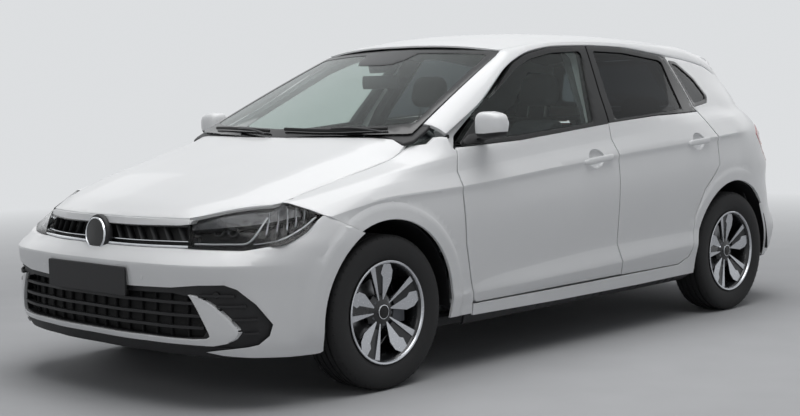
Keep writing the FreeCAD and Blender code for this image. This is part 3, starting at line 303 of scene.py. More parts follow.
def level_surface(levels, pivot, facing):
    """A surface from its levels: angles about a pivot on the car's middle line, 0 straight ahead of it."""
    heights = [z for z, rows in levels]
    angles = np.linspace(0.0, 1.95, 79)
    reach = []
    for z, rows in levels:
        x = np.array([row[0] for row in rows])
        y = np.array([(row[1] - pivot) * facing for row in rows])
        turn = np.arctan2(x, y)
        far = np.hypot(x, y)
        curve = smooth(np.concatenate([-turn[:0:-1], turn]), np.concatenate([far[:0:-1], far]))
        reach.append(curve(np.clip(angles, 0, turn[-1])))
        reach[-1] = np.where(angles > turn[-1], x[-1] / np.sin(angles + 1e-9), reach[-1])
    reach = np.array(reach)
    up = [smooth(heights, reach[:, i]) for i in range(len(angles))]

    def radius(turn, z):
        at = np.clip(np.abs(turn), 0, 1.94) / (angles[1] - angles[0])
        i = np.clip(at.astype(int), 0, len(angles) - 2)
        share = at - i
        value = np.zeros(len(z))
        for k in np.unique(i):
            mask = i == k
            low = up[k](z[mask])
            high = up[k + 1](z[mask])
            value[mask] = low + (high - low) * share[mask]
        return value

    def surface(points):
        """Points are (angle in thousandths of a radian times 0.75, z), near millimetres along the skin."""
        turn = points[:, 0] / 750.0
        rho = radius(turn, points[:, 1])
        x = rho * np.sin(turn)
        y = pivot + facing * rho * np.cos(turn)
        return np.stack([x, y, points[:, 1]], axis=1)

    def place(x, z):
        """The domain point under a point seen from straight ahead: x, z arrays."""
        x = np.asarray(x, float)
        z = np.asarray(z, float)
        found = []
        for a, b in zip(x, z):
            turns = np.linspace(0.0, 1.6, 161)
            there = radius(turns, np.full(161, b)) * np.sin(turns)
            there = np.maximum.accumulate(there + np.arange(161) * 1e-6)
            found.append(math.copysign(np.interp(abs(a), there, turns) * 750.0, a))
        return np.stack([found, z], axis=1)

    def beside(y, z):
        """The domain point at a given y on the left side."""
        found = []
        for a, b in zip(np.asarray(y, float), np.asarray(z, float)):
            turns = np.linspace(0.5, 1.9, 181)
            there = radius(turns, np.full(181, b)) * np.cos(turns) * facing + pivot
            order = np.argsort(there)
            found.append(np.interp(a, there[order], turns[order]) * 750.0)
        return np.stack([found, np.asarray(z, float)], axis=1)

    return surface, place, beside


plain_nose, nose_at, nose_beside = level_surface(NOSE, NOSE_PIVOT, -1.0)
tail, tail_at, tail_beside = level_surface(TAIL, TAIL_PIVOT, 1.0)


def nose(points):
    """The nose with the front arches' flare."""
    p = plain_nose(points)
    fade = np.clip((p[:, 2] - 215.0) / 60.0, 0.0, 1.0) * np.clip((np.abs(p[:, 0]) - 700.0) / 60.0, 0.0, 1.0)
    p[:, 0] += np.sign(p[:, 0]) * arch_rise(p[:, 1], p[:, 2]) * fade
    return p


def tail_window(points):
    """The tailgate's upper plane: points are (x, z)."""
    x = points[:, 0]
    z = points[:, 1]
    return np.stack([x, REAR + 547.0 - 0.48 * (z - 880.0) - x * x / 3400.0, z], axis=1)


# Materials


def colour_of(red, green, blue):
    """A colour from its 0 to 255 parts, as the shader wants it."""
    parts = []
    for part in (red, green, blue):
        c = part / 255.0
        parts.append(c / 12.92 if c <= 0.04045 else ((c + 0.055) / 1.055) ** 2.4)
    return (*parts, 1.0)


SLOTS = {}


def set_inputs(node, values):
    for name, value in values.items():
        node.inputs[name].default_value = value


def material(name, slot, colour, rough=0.5, metal=0.0, coat=0.0, grain=60.0, vary=0.06, bump=0.0,
             see_through=0.0, index=1.45, rough_vary=0.04):
    """A procedural finish: one noise moves its colour and roughness, and a finer one lifts its grain."""
    made = bpy.data.materials.new(name)
    SLOTS[made.name] = slot
    made.use_nodes = True
    nodes = made.node_tree.nodes
    links = made.node_tree.links
    shader = nodes["Principled BSDF"]
    set_inputs(shader, {"Metallic": metal, "Coat Weight": coat, "Coat Roughness": 0.03,
                        "Transmission Weight": see_through, "IOR": index})
    place = nodes.new("ShaderNodeTexCoord")
    noise = nodes.new("ShaderNodeTexNoise")
    set_inputs(noise, {"Scale": grain, "Detail": 4.0})
    links.new(place.outputs["Object"], noise.inputs["Vector"])
    tones = nodes.new("ShaderNodeValToRGB")
    for element, position, tone in zip(tones.color_ramp.elements, (0.3, 0.7), (1.0 - vary, 1.0 + vary)):
        element.position = position
        element.color = (*(min(1.0, c * tone) for c in colour[:3]), 1.0)
    links.new(noise.outputs["Fac"], tones.inputs["Fac"])
    links.new(tones.outputs["Color"], shader.inputs["Base Color"])
    spread = nodes.new("ShaderNodeMapRange")
    set_inputs(spread, {"To Min": max(0.0, rough - rough_vary), "To Max": min(1.0, rough + rough_vary)})
    links.new(noise.outputs["Fac"], spread.inputs["Value"])
    links.new(spread.outputs["Result"], shader.inputs["Roughness"])
    if bump:
        fine = nodes.new("ShaderNodeTexNoise")
        set_inputs(fine, {"Scale": grain * 14.0, "Detail": 3.0})
        links.new(place.outputs["Object"], fine.inputs["Vector"])
        lift = nodes.new("ShaderNodeBump")
        set_inputs(lift, {"Strength": bump, "Distance": 0.001})
        links.new(fine.outputs["Fac"], lift.inputs["Height"])
        links.new(lift.outputs["Normal"], shader.inputs["Normal"])
    return made


PAINT = material("white_paint", "white_paint", colour_of(226, 227, 228), 0.34, coat=0.35, grain=3.0,
                 vary=0.012, rough_vary=0.02)
GLOSS = material("gloss_black", "black_plastic", colour_of(9, 9, 10), 0.16, grain=20.0, vary=0.15,
                 rough_vary=0.02)
BLACK = material("black_plastic", "black_plastic", colour_of(24, 24, 26), 0.55, grain=90.0, vary=0.18,
                 bump=0.25)
DEEP = material("deep_black", "black_plastic", colour_of(9, 9, 10), 0.7, grain=50.0, vary=0.2)
SEAL = material("seal_rubber", "black_plastic", colour_of(16, 16, 17), 0.6, grain=120.0, vary=0.15)
UNDER = material("underbody_paint", "underbody", colour_of(46, 47, 49), 0.6, grain=40.0, vary=0.18, bump=0.2)
CHROME = material("chrome", "black_plastic", colour_of(225, 227, 230), 0.12, 1.0, grain=30.0, vary=0.03)
GLASS_CLEAR = material("clear_glass", "clear_glass", colour_of(212, 222, 218), 0.02, see_through=1.0,
                       index=1.25, grain=4.0, vary=0.01, rough_vary=0.0)
GLASS_DARK = material("dark_glass", "dark_glass", colour_of(72, 78, 82), 0.02, see_through=1.0, index=1.25,
                      grain=4.0, vary=0.03, rough_vary=0.0)
LENS = material("clear_lens", "clear_lens", colour_of(206, 206, 206), 0.02, see_through=1.0, index=1.12,
                grain=6.0, vary=0.01, rough_vary=0.0)
RED_LENS = material("red_lens", "red_lens", colour_of(168, 14, 18), 0.08, coat=0.6, grain=14.0, vary=0.12,
                    rough_vary=0.02)
RED_DARK = material("dark_red_lens", "red_lens", colour_of(70, 8, 12), 0.1, coat=0.6, grain=14.0, vary=0.15,
                    rough_vary=0.02)
RUBBER = material("tyre_rubber", "tyre_rubber", colour_of(27, 27, 28), 0.72, grain=70.0, vary=0.14, bump=0.3)
ALLOY = material("machined_alloy", "alloy", colour_of(196, 198, 202), 0.26, 1.0, grain=160.0, vary=0.05)
ALLOY_DARK = material("dark_alloy", "alloy", colour_of(30, 31, 33), 0.28, 0.3, coat=0.5, grain=30.0, vary=0.1)
STEEL = material("chassis_steel", "chassis_steel", colour_of(88, 90, 94), 0.42, 0.8, grain=30.0, vary=0.12)
DISC = material("brake_disc", "chassis_steel", colour_of(150, 150, 152), 0.3, 1.0, grain=220.0, vary=0.08)
CABIN = material("cabin_plastic", "cabin_plastic", colour_of(52, 53, 56), 0.62, grain=110.0, vary=0.12,
                 bump=0.25)
CABIN_LIGHT = material("cabin_trim", "cabin_plastic", colour_of(84, 85, 88), 0.6, grain=90.0, vary=0.1,
                       bump=0.2)
HEADLINER = material("headliner", "cabin_plastic", colour_of(150, 149, 146), 0.85, grain=150.0, vary=0.06,
                     bump=0.2)
CARPET = material("carpet", "cabin_plastic", colour_of(58, 58, 60), 0.95, grain=260.0, vary=0.25, bump=0.6)
FABRIC = material("seat_fabric", "seat_fabric", colour_of(46, 47, 51), 0.88, grain=240.0, vary=0.22, bump=0.5)
FABRIC_MID = material("seat_centre", "seat_fabric", colour_of(78, 79, 84), 0.9, grain=280.0, vary=0.25,
                      bump=0.5)
PLATE = material("plate_blank", "plate_blank", colour_of(222, 222, 218), 0.4, grain=20.0, vary=0.03)
AMBER = material("amber_lens", "red_lens", colour_of(196, 96, 18), 0.1, coat=0.5, grain=14.0, vary=0.1,
                 rough_vary=0.02)
LAMP_WHITE = material("lamp_white", "clear_lens", colour_of(240, 243, 247), 0.15, coat=0.5, grain=30.0,
                      vary=0.02)
LAMP_GREY = material("lamp_grey", "clear_lens", colour_of(96, 97, 99), 0.28, 0.6, grain=30.0, vary=0.08)


# Meshes


def towards(x, y, z):
    """The turn that makes the local z axis face that way."""
    return Vector((x, y, z)).to_track_quat("Z", "Y").to_matrix()


def add(name, data):
    """A new object in the scene."""
    made = bpy.data.objects.new(name, data)
    bpy.context.scene.collection.objects.link(made)
    return made


def put(points):
    """Row-frame metres from millimetres behind the front axle."""
    p = np.asarray(points, float).reshape(-1, 3)
    return np.stack([p[:, 0], p[:, 1] + FRONT_AXLE, p[:, 2]], axis=1) / 1000.0


def make(name, verts, faces, finish, body="body", slot=None, sharp=32.0, flip=False):
    """A mesh object on a CAD body, from verts in millimetres. slot is not used,
    and flip makes it the right side's mirror image."""
    if flip:
        verts = np.asarray(verts, float) * np.array([-1.0, 1.0, 1.0])
        faces = [tuple(reversed(face)) for face in faces]
    mesh = bpy.data.meshes.new(name)
    mesh.from_pydata(put(verts).tolist(), [], [tuple(int(i) for i in face) for face in faces])
    mesh.validate()
    mesh.update()
    mesh.polygons.foreach_set("use_smooth", [True] * len(mesh.polygons))
    mesh.set_sharp_from_angle(angle=math.radians(sharp))
    piece = add(name, mesh)
    mesh.materials.append(finish)
    slot or SLOTS[finish.name]
    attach(piece, body)
    return piece


def rounded(corners, step=GRID):
    """A closed outline from (u, v, corner radius) rows, with its points at most step apart."""
    rows = [np.array(row, float) for row in corners]
    outline = []
    count = len(rows)
    for i in range(count):
        here = rows[i][:2]
        radius = rows[i][2] if len(rows[i]) > 2 else 0.0
        back = rows[i - 1][:2] - here
        ahead = rows[(i + 1) % count][:2] - here
        back_size = np.linalg.norm(back)
        ahead_size = np.linalg.norm(ahead)
        back = back / back_size
        ahead = ahead / ahead_size
        turn = math.acos(float(np.clip(back @ ahead, -1, 1)))
        if radius <= 0 or turn > math.pi - 0.03:
            outline.append(here)
            continue
        reach = min(radius / math.tan(turn / 2), 0.48 * back_size, 0.48 * ahead_size)
        radius = reach * math.tan(turn / 2)
        start = here + back * reach
        end = here + ahead * reach
        pieces = max(2, int(round((math.pi - turn) / 0.22)))
        middle = here + (back + ahead) / np.linalg.norm(back + ahead) * radius / math.sin(turn / 2)
        a = start - middle
        b = end - middle
        sweep = math.acos(float(np.clip(a @ b / radius**2, -1, 1)))
        for k in range(pieces + 1):
            share = k / pieces
            wa = math.sin((1 - share) * sweep) / math.sin(sweep)
            wb = math.sin(share * sweep) / math.sin(sweep)
            outline.append(middle + a * wa + b * wb)
    return dense(np.array(outline), step)


def dense(loop, step=GRID):
    """The same closed line with points at most step apart."""
    out = []
    for i in range(len(loop)):
        a = loop[i]
        b = loop[(i + 1) % len(loop)]
        size = np.linalg.norm(b - a)
        if size < 0.3:
            continue
        parts = max(1, int(math.ceil(size / step)))
        for k in range(parts):
            out.append(a + (b - a) * k / parts)
    return np.array(out)


def area(loop):
    x = loop[:, 0]
    y = loop[:, 1]
    return 0.5 * float(np.sum(x * np.roll(y, -1) - np.roll(x, -1) * y))


def within(points, loop):
    """Which points lie in the loop."""
    hit = np.zeros(len(points), bool)
    px = points[:, 0]
    py = points[:, 1]
    for a, b in zip(loop, np.roll(loop, -1, axis=0)):
        if a[1] == b[1]:
            continue
        spans = (a[1] > py) != (b[1] > py)
        hit ^= spans & (px < (b[0] - a[0]) * (py - a[1]) / (b[1] - a[1]) + a[0])
    return hit


def clearance(points, loop):
    """Each point's distance to the loop."""
    best = np.full(len(points), 1e9)
    for a, b in zip(loop, np.roll(loop, -1, axis=0)):
        ab = b - a
        t = np.clip(((points - a) @ ab) / max(ab @ ab, 1e-9), 0, 1)
        best = np.minimum(best, np.linalg.norm(points - (a + t[:, None] * ab), axis=1))
    return best


def inset(loop, by):
    """The loop moved to its left by that much."""
    ahead = np.roll(loop, -1, axis=0) - loop
    ahead /= np.linalg.norm(ahead, axis=1)[:, None] + 1e-9
    back = np.roll(ahead, 1, axis=0)
    mean = ahead + back
    mean /= np.linalg.norm(mean, axis=1)[:, None] + 1e-9
    side = np.stack([-mean[:, 1], mean[:, 0]], axis=1)
    return loop + side * by


def slab(name, outer, surface, depth, finish, body="body", slot=None, holes=(), columns=None, step=GRID,
         hem=1.3, rim=2.2, flip=False, sharp=24.0, extra=()):
    """A closed panel: an outline in a surface's domain, with a rounded hem, walls along depth and a back.
    depth is the way from the skin to the back, (x, y, z). columns(u) gives the wanted v places at u, and
    extra holds rows of points that the mesh has to have."""
    loops = []
    for i, loop in enumerate([outer, *holes]):
        loop = np.asarray(loop, float)
        turned = area(loop) > 0
        loops.append(loop if turned == (i == 0) else loop[::-1])
    low = loops[0].min(axis=0)
    high = loops[0].max(axis=0)
    wanted = []
    for u in np.arange(low[0] + step / 2, high[0], step):
        if columns is None:
            places = np.arange(low[1] + step / 2, high[1], step)
        else:
            marks = sorted(v for v in columns(u) if low[1] < v < high[1])
            marks = [low[1], *marks, high[1]]
            places = []
            for a, b in zip(marks[:-1], marks[1:]):
                parts = max(1, int(round((b - a) / step)))
                places += [a + (b - a) * k / parts for k in range(parts)]
        wanted += [(u, v) for v in places]
    wanted = np.array(wanted).reshape(-1, 2)
    for row in extra:
        row = np.asarray(row, float)
        near = np.linalg.norm(wanted[:, None, :] - row[None, :, :], axis=2).min(axis=1)
        wanted = np.concatenate([wanted[near > 7.0], row])
    keep = within(wanted, loops[0])
    for loop in loops[1:]:
        keep &= ~within(wanted, loop)
    wanted = wanted[keep]
    for loop in loops:
        wanted = wanted[clearance(wanted, loop) > max(rim * 2.2, step * 0.2)]
    flat = []
    edges = []
    for loop in loops:
        for ring in (loop, inset(loop, rim)):
            start = len(flat)
            flat += [tuple(p) for p in ring]
            count = len(ring)
            edges += [(start + i, start + (i + 1) % count) for i in range(count)]
    on_edge = set()
    start = 0
    for loop in loops:
        on_edge |= set(range(start, start + len(loop)))
        start += 2 * len(loop)
    flat += [tuple(p) for p in wanted]
    found = delaunay_2d_cdt([Vector(p) for p in flat], edges, [], 0, 1e-4)
    points = np.array([(v.x, v.y) for v in found[0]])
    tris = np.array([tuple(f) for f in found[2] if len(f) == 3])
    middle = points[tris].mean(axis=1)
    keep = within(middle, loops[0])
    for loop in loops[1:]:
        keep &= ~within(middle, loop)
    tris = tris[keep]
    rims = np.array([any(i in on_edge for i in source) for source in found[3]])
    skin = surface(points)
    way = np.asarray(depth, float)
    unit = way / np.linalg.norm(way)
    top = skin + np.where(rims[:, None], unit * hem, 0.0)
    a, b, c = (skin[tris[:, i]] for i in range(3))
    facing = np.cross(b - a, c - a) @ unit
    wrong = facing > 0
    tris[wrong] = tris[wrong][:, ::-1]
    return close(name, top, skin + way, tris, finish, body, slot, flip, sharp)


def close(name, top, back, tris, finish, body="body", slot=None, flip=False, sharp=24.0):
    """A closed mesh from a triangulated top, a back with the same points, and walls round its open edges."""
    count = len(top)
    edges = {}
    for t in tris.tolist():
        for i, j in ((t[0], t[1]), (t[1], t[2]), (t[2], t[0])):
            edges[(i, j)] = edges.get((i, j), 0) + 1
    faces = [tuple(t) for t in tris.tolist()]
    faces += [(t[2] + count, t[1] + count, t[0] + count) for t in tris.tolist()]
    for i, j in edges:
        if (j, i) not in edges:
            faces.append((j, i, i + count, j + count))
    verts = np.concatenate([top, back])
    used = np.unique(np.array([i for face in faces for i in face]))
    renumber = {int(old): new for new, old in enumerate(used)}
    faces = [tuple(renumber[i] for i in face) for face in faces]
    return make(name, verts[used], faces, finish, body, slot, sharp, flip)


def tail_grid():
    """The tail surface as x over a grid of y and z, for panels drawn from the side."""
    ys = np.arange(2560.0, 3250.0, 12.0)
    zs = np.arange(215.0, 1066.0, 12.5)
    turns = np.linspace(0.0, 1.9, 200) * 750.0
    grid = np.zeros((len(ys), len(zs)))
    for j, z in enumerate(zs):
        found = tail(np.stack([turns, np.full(len(turns), z)], axis=1))
        order = np.argsort(found[:, 1])
        grid[:, j] = np.interp(ys, found[order, 1], found[order, 0], right=0.0)
    return ys, zs, grid


TAIL_YS, TAIL_ZS, TAIL_X = tail_grid()


def tail_x(y, z):
    """The tail's x at a place seen from the side."""
    i = np.clip((y - TAIL_YS[0]) / (TAIL_YS[1] - TAIL_YS[0]), 0, len(TAIL_YS) - 1.001)
    j = np.clip((z - TAIL_ZS[0]) / (TAIL_ZS[1] - TAIL_ZS[0]), 0, len(TAIL_ZS) - 1.001)
    a = i.astype(int)
    b = j.astype(int)
    s = i - a
    t = j - b
    low = TAIL_X[a, b] * (1 - s) + TAIL_X[a + 1, b] * s
    high = TAIL_X[a, b + 1] * (1 - s) + TAIL_X[a + 1, b + 1] * s
    return low * (1 - t) + high * t


def blend(low, high, at):
    """0 below low, 1 above high, smooth between."""
    t = np.clip((at - low) / (high - low), 0.0, 1.0)
    return t * t * (3 - 2 * t)


def whole(points):
    """The whole side behind the wing, seen from the side: points are (y, z)."""
    y = points[:, 0]
    z = points[:, 1]
    crease_z = ROW_Z[CREASE](y)
    crease_x = ROW_X[CREASE](y)
    lower = flank(np.stack([y, np.minimum(z, crease_z)], axis=1))[:, 0]
    corner = blend(2600.0, 2760.0, y)
    lower = lower * (1 - corner) + tail_x(y, np.minimum(z, crease_z)) * corner
    crease_x = np.where(z > crease_z, lower, crease_x)
    gap = crease_x - side_x(y, crease_z)
    upper = side_x(y, z) + gap * (1.0 - blend(0.0, 170.0, z - crease_z))
    return np.stack([np.where(z <= crease_z, lower, upper), y, z], axis=1)


def skin_x(y, z):
    """The side's x at one place."""
    return whole(np.array([[y, z]]))[0, 0]


def whole_columns(y):
    marks = flank_columns(y)[:-2]
    return [*marks, *range(int(marks[-1]) + 24, 1420, 24)]


def shifted(surface, dx=0.0, dy=0.0, dz=0.0):
    """The surface moved as a whole."""
    return lambda points: surface(points) + np.array([dx, dy, dz])


def shrunk(surface, pivot_y, by):
    """The surface moved towards an upright axis on the middle line."""

    def moved(points):
        p = surface(points)
        away = np.stack([p[:, 0], p[:, 1] - pivot_y], axis=1)
        size = np.linalg.norm(away, axis=1)[:, None]
        p[:, :2] -= away / size * by
        return p

    return moved


def sunk_nose(deeper):
    """The nose's surface moved inwards."""
    return shrunk(nose, NOSE_PIVOT, deeper)


def sunk_tail(deeper):
    return shrunk(tail, TAIL_PIVOT, deeper)


def arc(radius, start, end, centre_y, count=24):
    """(y, z) points round an axle; angles in degrees from the rear, upwards."""
    turns = [math.radians(start + (end - start) * k / count) for k in range(count + 1)]
    return [(centre_y + radius * math.cos(a), AXLE_Z + radius * math.sin(a)) for a in turns]


# Body panels


def in_by(size):
    return (-size, 0.0, 0.0)


def path(points, step=GRID):
    return dense(np.array(points, float), step)


def both(half):
    """A half outline, from the middle line out and back to it, with its mirror image."""
    half = np.array(half, float)
    return np.concatenate([half, half[1:-1][::-1] * np.array([-1.0, 1.0])])


def arch_rows(axle_y, start, end):
    """Rows of points round an arch that hold its flare's edge."""
    return [np.array(arc(radius, start, end, axle_y, count=int(radius * math.radians(abs(end - start)) / 16)))
            for radius in (443.0, ARCH_CREASE, 431.0, 423.0, 408.0, 392.0)]


def wing(side, flip):
    top_ys = [300, 242, 167, 46, -53, -180, -292, -372]
    top = []
    for y in top_ys:
        place = flank_rows(np.array([float(y)]))[2]
        top.append((y, place[-1, 0] - 3.0))
    points = [(504, 240), (366, 240), *arc(ARCH_CUT, -8, 117, 0.0), (-176, 650), (-300, 708), (-324, 720),
              (-345, 736), (-366, 750), (-385, 762), *reversed(top), (352, 985), (392, 1004), (438, 990),
              (440, 945), (454, 924), (429, 838), (427, 777), (446, 539), (504, 300)]
    slab("wing_" + side, path(points), flank, in_by(13), PAINT, columns=flank_columns, flip=flip, step=22.0,
         extra=arch_rows(0.0, -8, 130))


def side_panels(side, flip):
    points = [(510, 232), (1100, 226), (1700, 226), (2186, 232), *arc(ARCH_CUT, 169, 28, REAR), (2895, 561),
              (3030, 702), (3029, 741), (2992, 782), (2880, 903), (2968, 957), (3058, 962), (3040, 1000),
              (2962, 1066), (2930, 1090), (2893, 1140), (2862, 1196), (2838, 1262), (2826, 1296),
              (2818, 1290), (2816, 1224), (2700, 1264), (2569, 1286), (2440, 1303), (2284, 1316),
              (2330, 1060), (2356, 1036), (2368, 990), (2411, 906), (2400, 762), (2333, 702), (2262, 648),
              (2179, 519), (2142, 362), (2124, 318), (2047, 288), (1300, 282), (512, 280)]
    quarter = [(2298, 1294), (2362, 1286), (2482, 1206), (2538, 1120), (2506, 1084), (2345, 1066)]
    slab("side_panel_" + side, path(points), whole, in_by(14), PAINT, holes=[path(quarter)],
         columns=whole_columns, flip=flip, step=22.0, extra=arch_rows(REAR, 28, 172))
    surround = [(2290, 1300, 14), (2370, 1292, 60), (2492, 1208, 60), (2550, 1112, 26), (2506, 1076, 30),
                (2336, 1058, 14)]
    opening = [(2312, 1282, 10), (2362, 1274, 60), (2472, 1198, 50), (2522, 1116, 16), (2500, 1096, 20),
               (2358, 1078, 10)]
    slab("quarter_surround_" + side, rounded(surround), shifted(whole, 1.5), in_by(9), GLOSS,
         holes=[rounded(opening)], columns=whole_columns, flip=flip)
    glass = [(2304, 1290, 10), (2366, 1282, 60), (2480, 1202, 50), (2532, 1114, 16), (2502, 1088, 20),
             (2348, 1070, 10)]
    slab("quarter_glass_" + side, rounded(glass), shifted(whole, -4.0), in_by(4), GLASS_DARK,
         columns=whole_columns, flip=flip)
    frame_outer = [(452, 300), (512, 232), (2186, 236), (2186, 300), (2300, 640), (2420, 800), (2480, 1000),
                   (2560, 1080), (2560, 1262), (2440, 1292), (2200, 1338), (1906, 1368), (1650, 1375),
                   (1400, 1371), (1200, 1348), (1032, 1297), (700, 1112), (470, 1000), (446, 880)]
    front_hole = [(540, 318, 40), (478, 560, 200), (470, 900, 30), (520, 980, 40), (1046, 1262, 150),
                  (1200, 1318, 200), (1400, 1336, 200), (1590, 1338, 30), (1452, 960, 40), (1462, 560, 60),
                  (1490, 322, 50)]
    rear_hole = [(1580, 324, 50), (1566, 560, 60), (1572, 960, 60), (1700, 1338, 30), (1906, 1330, 400),
                 (2215, 1284, 40), (2286, 1050, 60), (2340, 930, 60), (2330, 780, 120), (2200, 560, 200),
                 (2096, 400, 60), (2040, 330, 50)]
    slab("door_frame_" + side, path(frame_outer), shifted(whole, -46.0), in_by(52), PAINT,
         holes=[rounded(front_hole), rounded(rear_hole)], columns=whole_columns, flip=flip, step=34.0)


def rails(side, flip):
    points = [(446, 0.02), (1040, 0.02), (1900, 0.02), (2500, 0.02), (2816, 0.02), (2816, 0.98), (2500, 0.98),
              (1900, 0.98), (1040, 0.98), (400, 0.98)]
    scale = np.array([1.0, 60.0])
    outline = dense(np.array(points) * scale)
    slab("roof_rail_" + side, outline, lambda p: rail(p / scale), (-10.0, 0.0, -10.0), PAINT, flip=flip,
         step=16.0, rim=2.0, hem=1.0)


def roof_panel():
    front = [(x, 972 + 66 * (x / 569.0) ** 2) for x in (0, 150, 300, 430, 540)]
    edge = [(float(ROOF_EDGE(y)) - 3.0, y) for y in (1046, 1200, 1500, 1900, 2300, 2500, 2734)]
    rear = [(x, 2734) for x in (380, 200, 0)]
    outline = path(both([*front, *edge, *rear]), 40.0)
    panel = slab("roof_panel_skin", outline, roof, (0.0, 0.0, -9.0), PAINT, step=40.0)
    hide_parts("roof_panel")
    slab("headliner", dense(np.array([(x * 0.94, min(max(y, 1010), 2700)) for x, y in outline]), 60.0),
         shifted(roof, dz=-36.0), (0.0, 0.0, -8.0), HEADLINER, step=60.0)


def bonnet():
    half = [(0, -741), (160, -731), (320, -701), (440, -666), (462, -654), (560, -528), (650, -412),
            (661, -380), (669, -292), (680, -170), (687, -53), (697, 60), (702, 167), (702, 232), (688, 286),
            (640, 274), (500, 219), (400, 186), (260, 148), (130, 126), (0, 120)]
    skin = slab("bonnet_skin", path(both(half), 24.0), bonnet_surface, (0.0, 0.0, -15.0), PAINT, "bonnet",
                step=24.0, sharp=40.0)
    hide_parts("bonnet")


def bumper_front():
    mouth = nose_at([0, 300, 479, 600, 690, 728, 772, 802, 794, 768, 736, 690, 640, 602],
                    [459, 460, 465, 478, 481, 464, 408, 330, 288, 256, 247, 241, 234, 227])
    under = [*nose_at([660, 745], [215, 206]), *nose_beside([-520, -440, -372], [202, 198, 196])]
    arch = [(y, z) for y, z in arc(ARCH_CUT, 196, 117, 0.0, count=16)]
    side = nose_beside([p[0] for p in arch], [p[1] for p in arch])
    gap = nose_beside([-180, -303, -326], [640, 700, 714])
    lamp = nose_beside([-334, -366, -420, -500], [709, 690, 659, 623])
    top = nose_at([705, 600, 491, 440, 300, 150, 0], [599, 599, 600, 602, 602, 602, 602])
    half = np.concatenate([mouth, under, side, gap, lamp, top])
    rows = []
    for radius in (443.0, 437.0, 429.0, 421.0, 404.0, 388.0):
        found = arc(radius, 192, 118, 0.0, count=30)
        row = nose_beside([p[0] for p in found], [p[1] for p in found])
        rows += [row, row * np.array([-1.0, 1.0])]
    skin = slab("front_bumper_skin", dense(both(half), 16.0), nose, (0.0, 24.0, 0.0), PAINT,
                columns=lambda u: [250, 300, 450, 540, 545, 551, 600], step=18.0, extra=rows)
    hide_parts("front_bumper")
    strip = nose_at([0, 250, 430, 468, 474, 440, 250, 0], [684, 684, 686, 690, 704, 709, 711, 712])
    slab("grille_top_strip", dense(both(strip), 20.0), nose, (0.0, 30.0, 0.0), PAINT, step=20.0)
    back = nose_at([0, 300, 560, 640, 700, 760, 800, 816, 785, 735, 700, 600, 479, 300, 0],
                   [226, 226, 226, 224, 232, 244, 284, 330, 418, 474, 492, 490, 476, 470, 470])
    slab("lower_intake_back", dense(both(back), 24.0), sunk_nose(58.0), (0.0, 12.0, 0.0), DEEP, step=30.0)
    rim = nose_at([0, 300, 520, 606, 622, 606, 575, 555, 479, 300, 0],
                  [278, 278, 277, 282, 304, 350, 400, 432, 442, 438, 437])
    slab("lower_intake_frame", dense(both(back * np.array([0.995, 1.0])), 20.0), sunk_nose(15.0),
         (0.0, 26.0, 0.0), BLACK, holes=[dense(both(rim), 20.0)], step=24.0)
    lip = nose_at([0, 300, 560, 660, 740, 735, 680, 560, 300, 0],
                  [249, 249, 249, 246, 238, 212, 207, 206, 206, 206])
    slab("front_lip", dense(both(lip), 24.0), sunk_nose(9.0), (0.0, 40.0, 0.0), BLACK, step=24.0)
    fin = nose_at([0, 300, 560, 640, 684, 712, 727, 722, 700, 668, 630, 596, 570, 552, 566, 588, 612, 628,
                   632, 618, 560, 300, 0],
                  [252, 252, 252, 252, 262, 280, 304, 322, 352, 388, 418, 434, 440, 441, 424, 388, 340, 304,
                   288, 279, 275, 275, 275])
    slab("intake_blade", dense(both(fin), 9.0), sunk_nose(1.0), (0.0, 26.0, 0.0), PAINT, step=11.0, hem=2.0,
         rim=3.0)


def bumper_rear():
    lower = tail_at([0, 300, 560, 700], [330, 330, 318, 300])
    corner = tail_beside([3000, 2930], [262, 246])
    arch = arc(ARCH_CUT, -8, 38, REAR, count=10)
    side = tail_beside([p[0] for p in arch], [p[1] for p in arch])
    gap = tail_beside([2900, 3034], [556, 696])
    top = tail_at([690, 620, 560, 300, 0], [700, 668, 648, 644, 644])
    half = np.concatenate([lower, corner, side[1:], gap, top])
    recess = path(both(tail_at([0, 180, 285, 290, 180, 0], [448, 448, 452, 606, 608, 608])), 22.0)
    skin = slab("rear_bumper_skin", path(both(half), 22.0), tail, (0.0, -22.0, 0.0), PAINT, holes=[recess],
                step=24.0, columns=lambda u: [400, 516, 524, 596, 604, 640])
    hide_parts("rear_bumper")
    slab("rear_plate_recess", recess, shifted(tail, dy=-26.0), (0.0, -8.0, 0.0), PAINT, step=24.0)
    low_half = [*tail_at([0, 300, 560, 700], [236, 236, 240, 246]), *tail_beside([2990, 2925], [246, 246]),
                *tail_beside([2928, 3002], [252, 268]), *tail_at([700, 560, 300, 0], [306, 324, 336, 336])]
    slab("rear_diffuser", path(both(low_half), 24.0), sunk_tail(5.0), (0.0, -30.0, 0.0), BLACK, step=24.0)


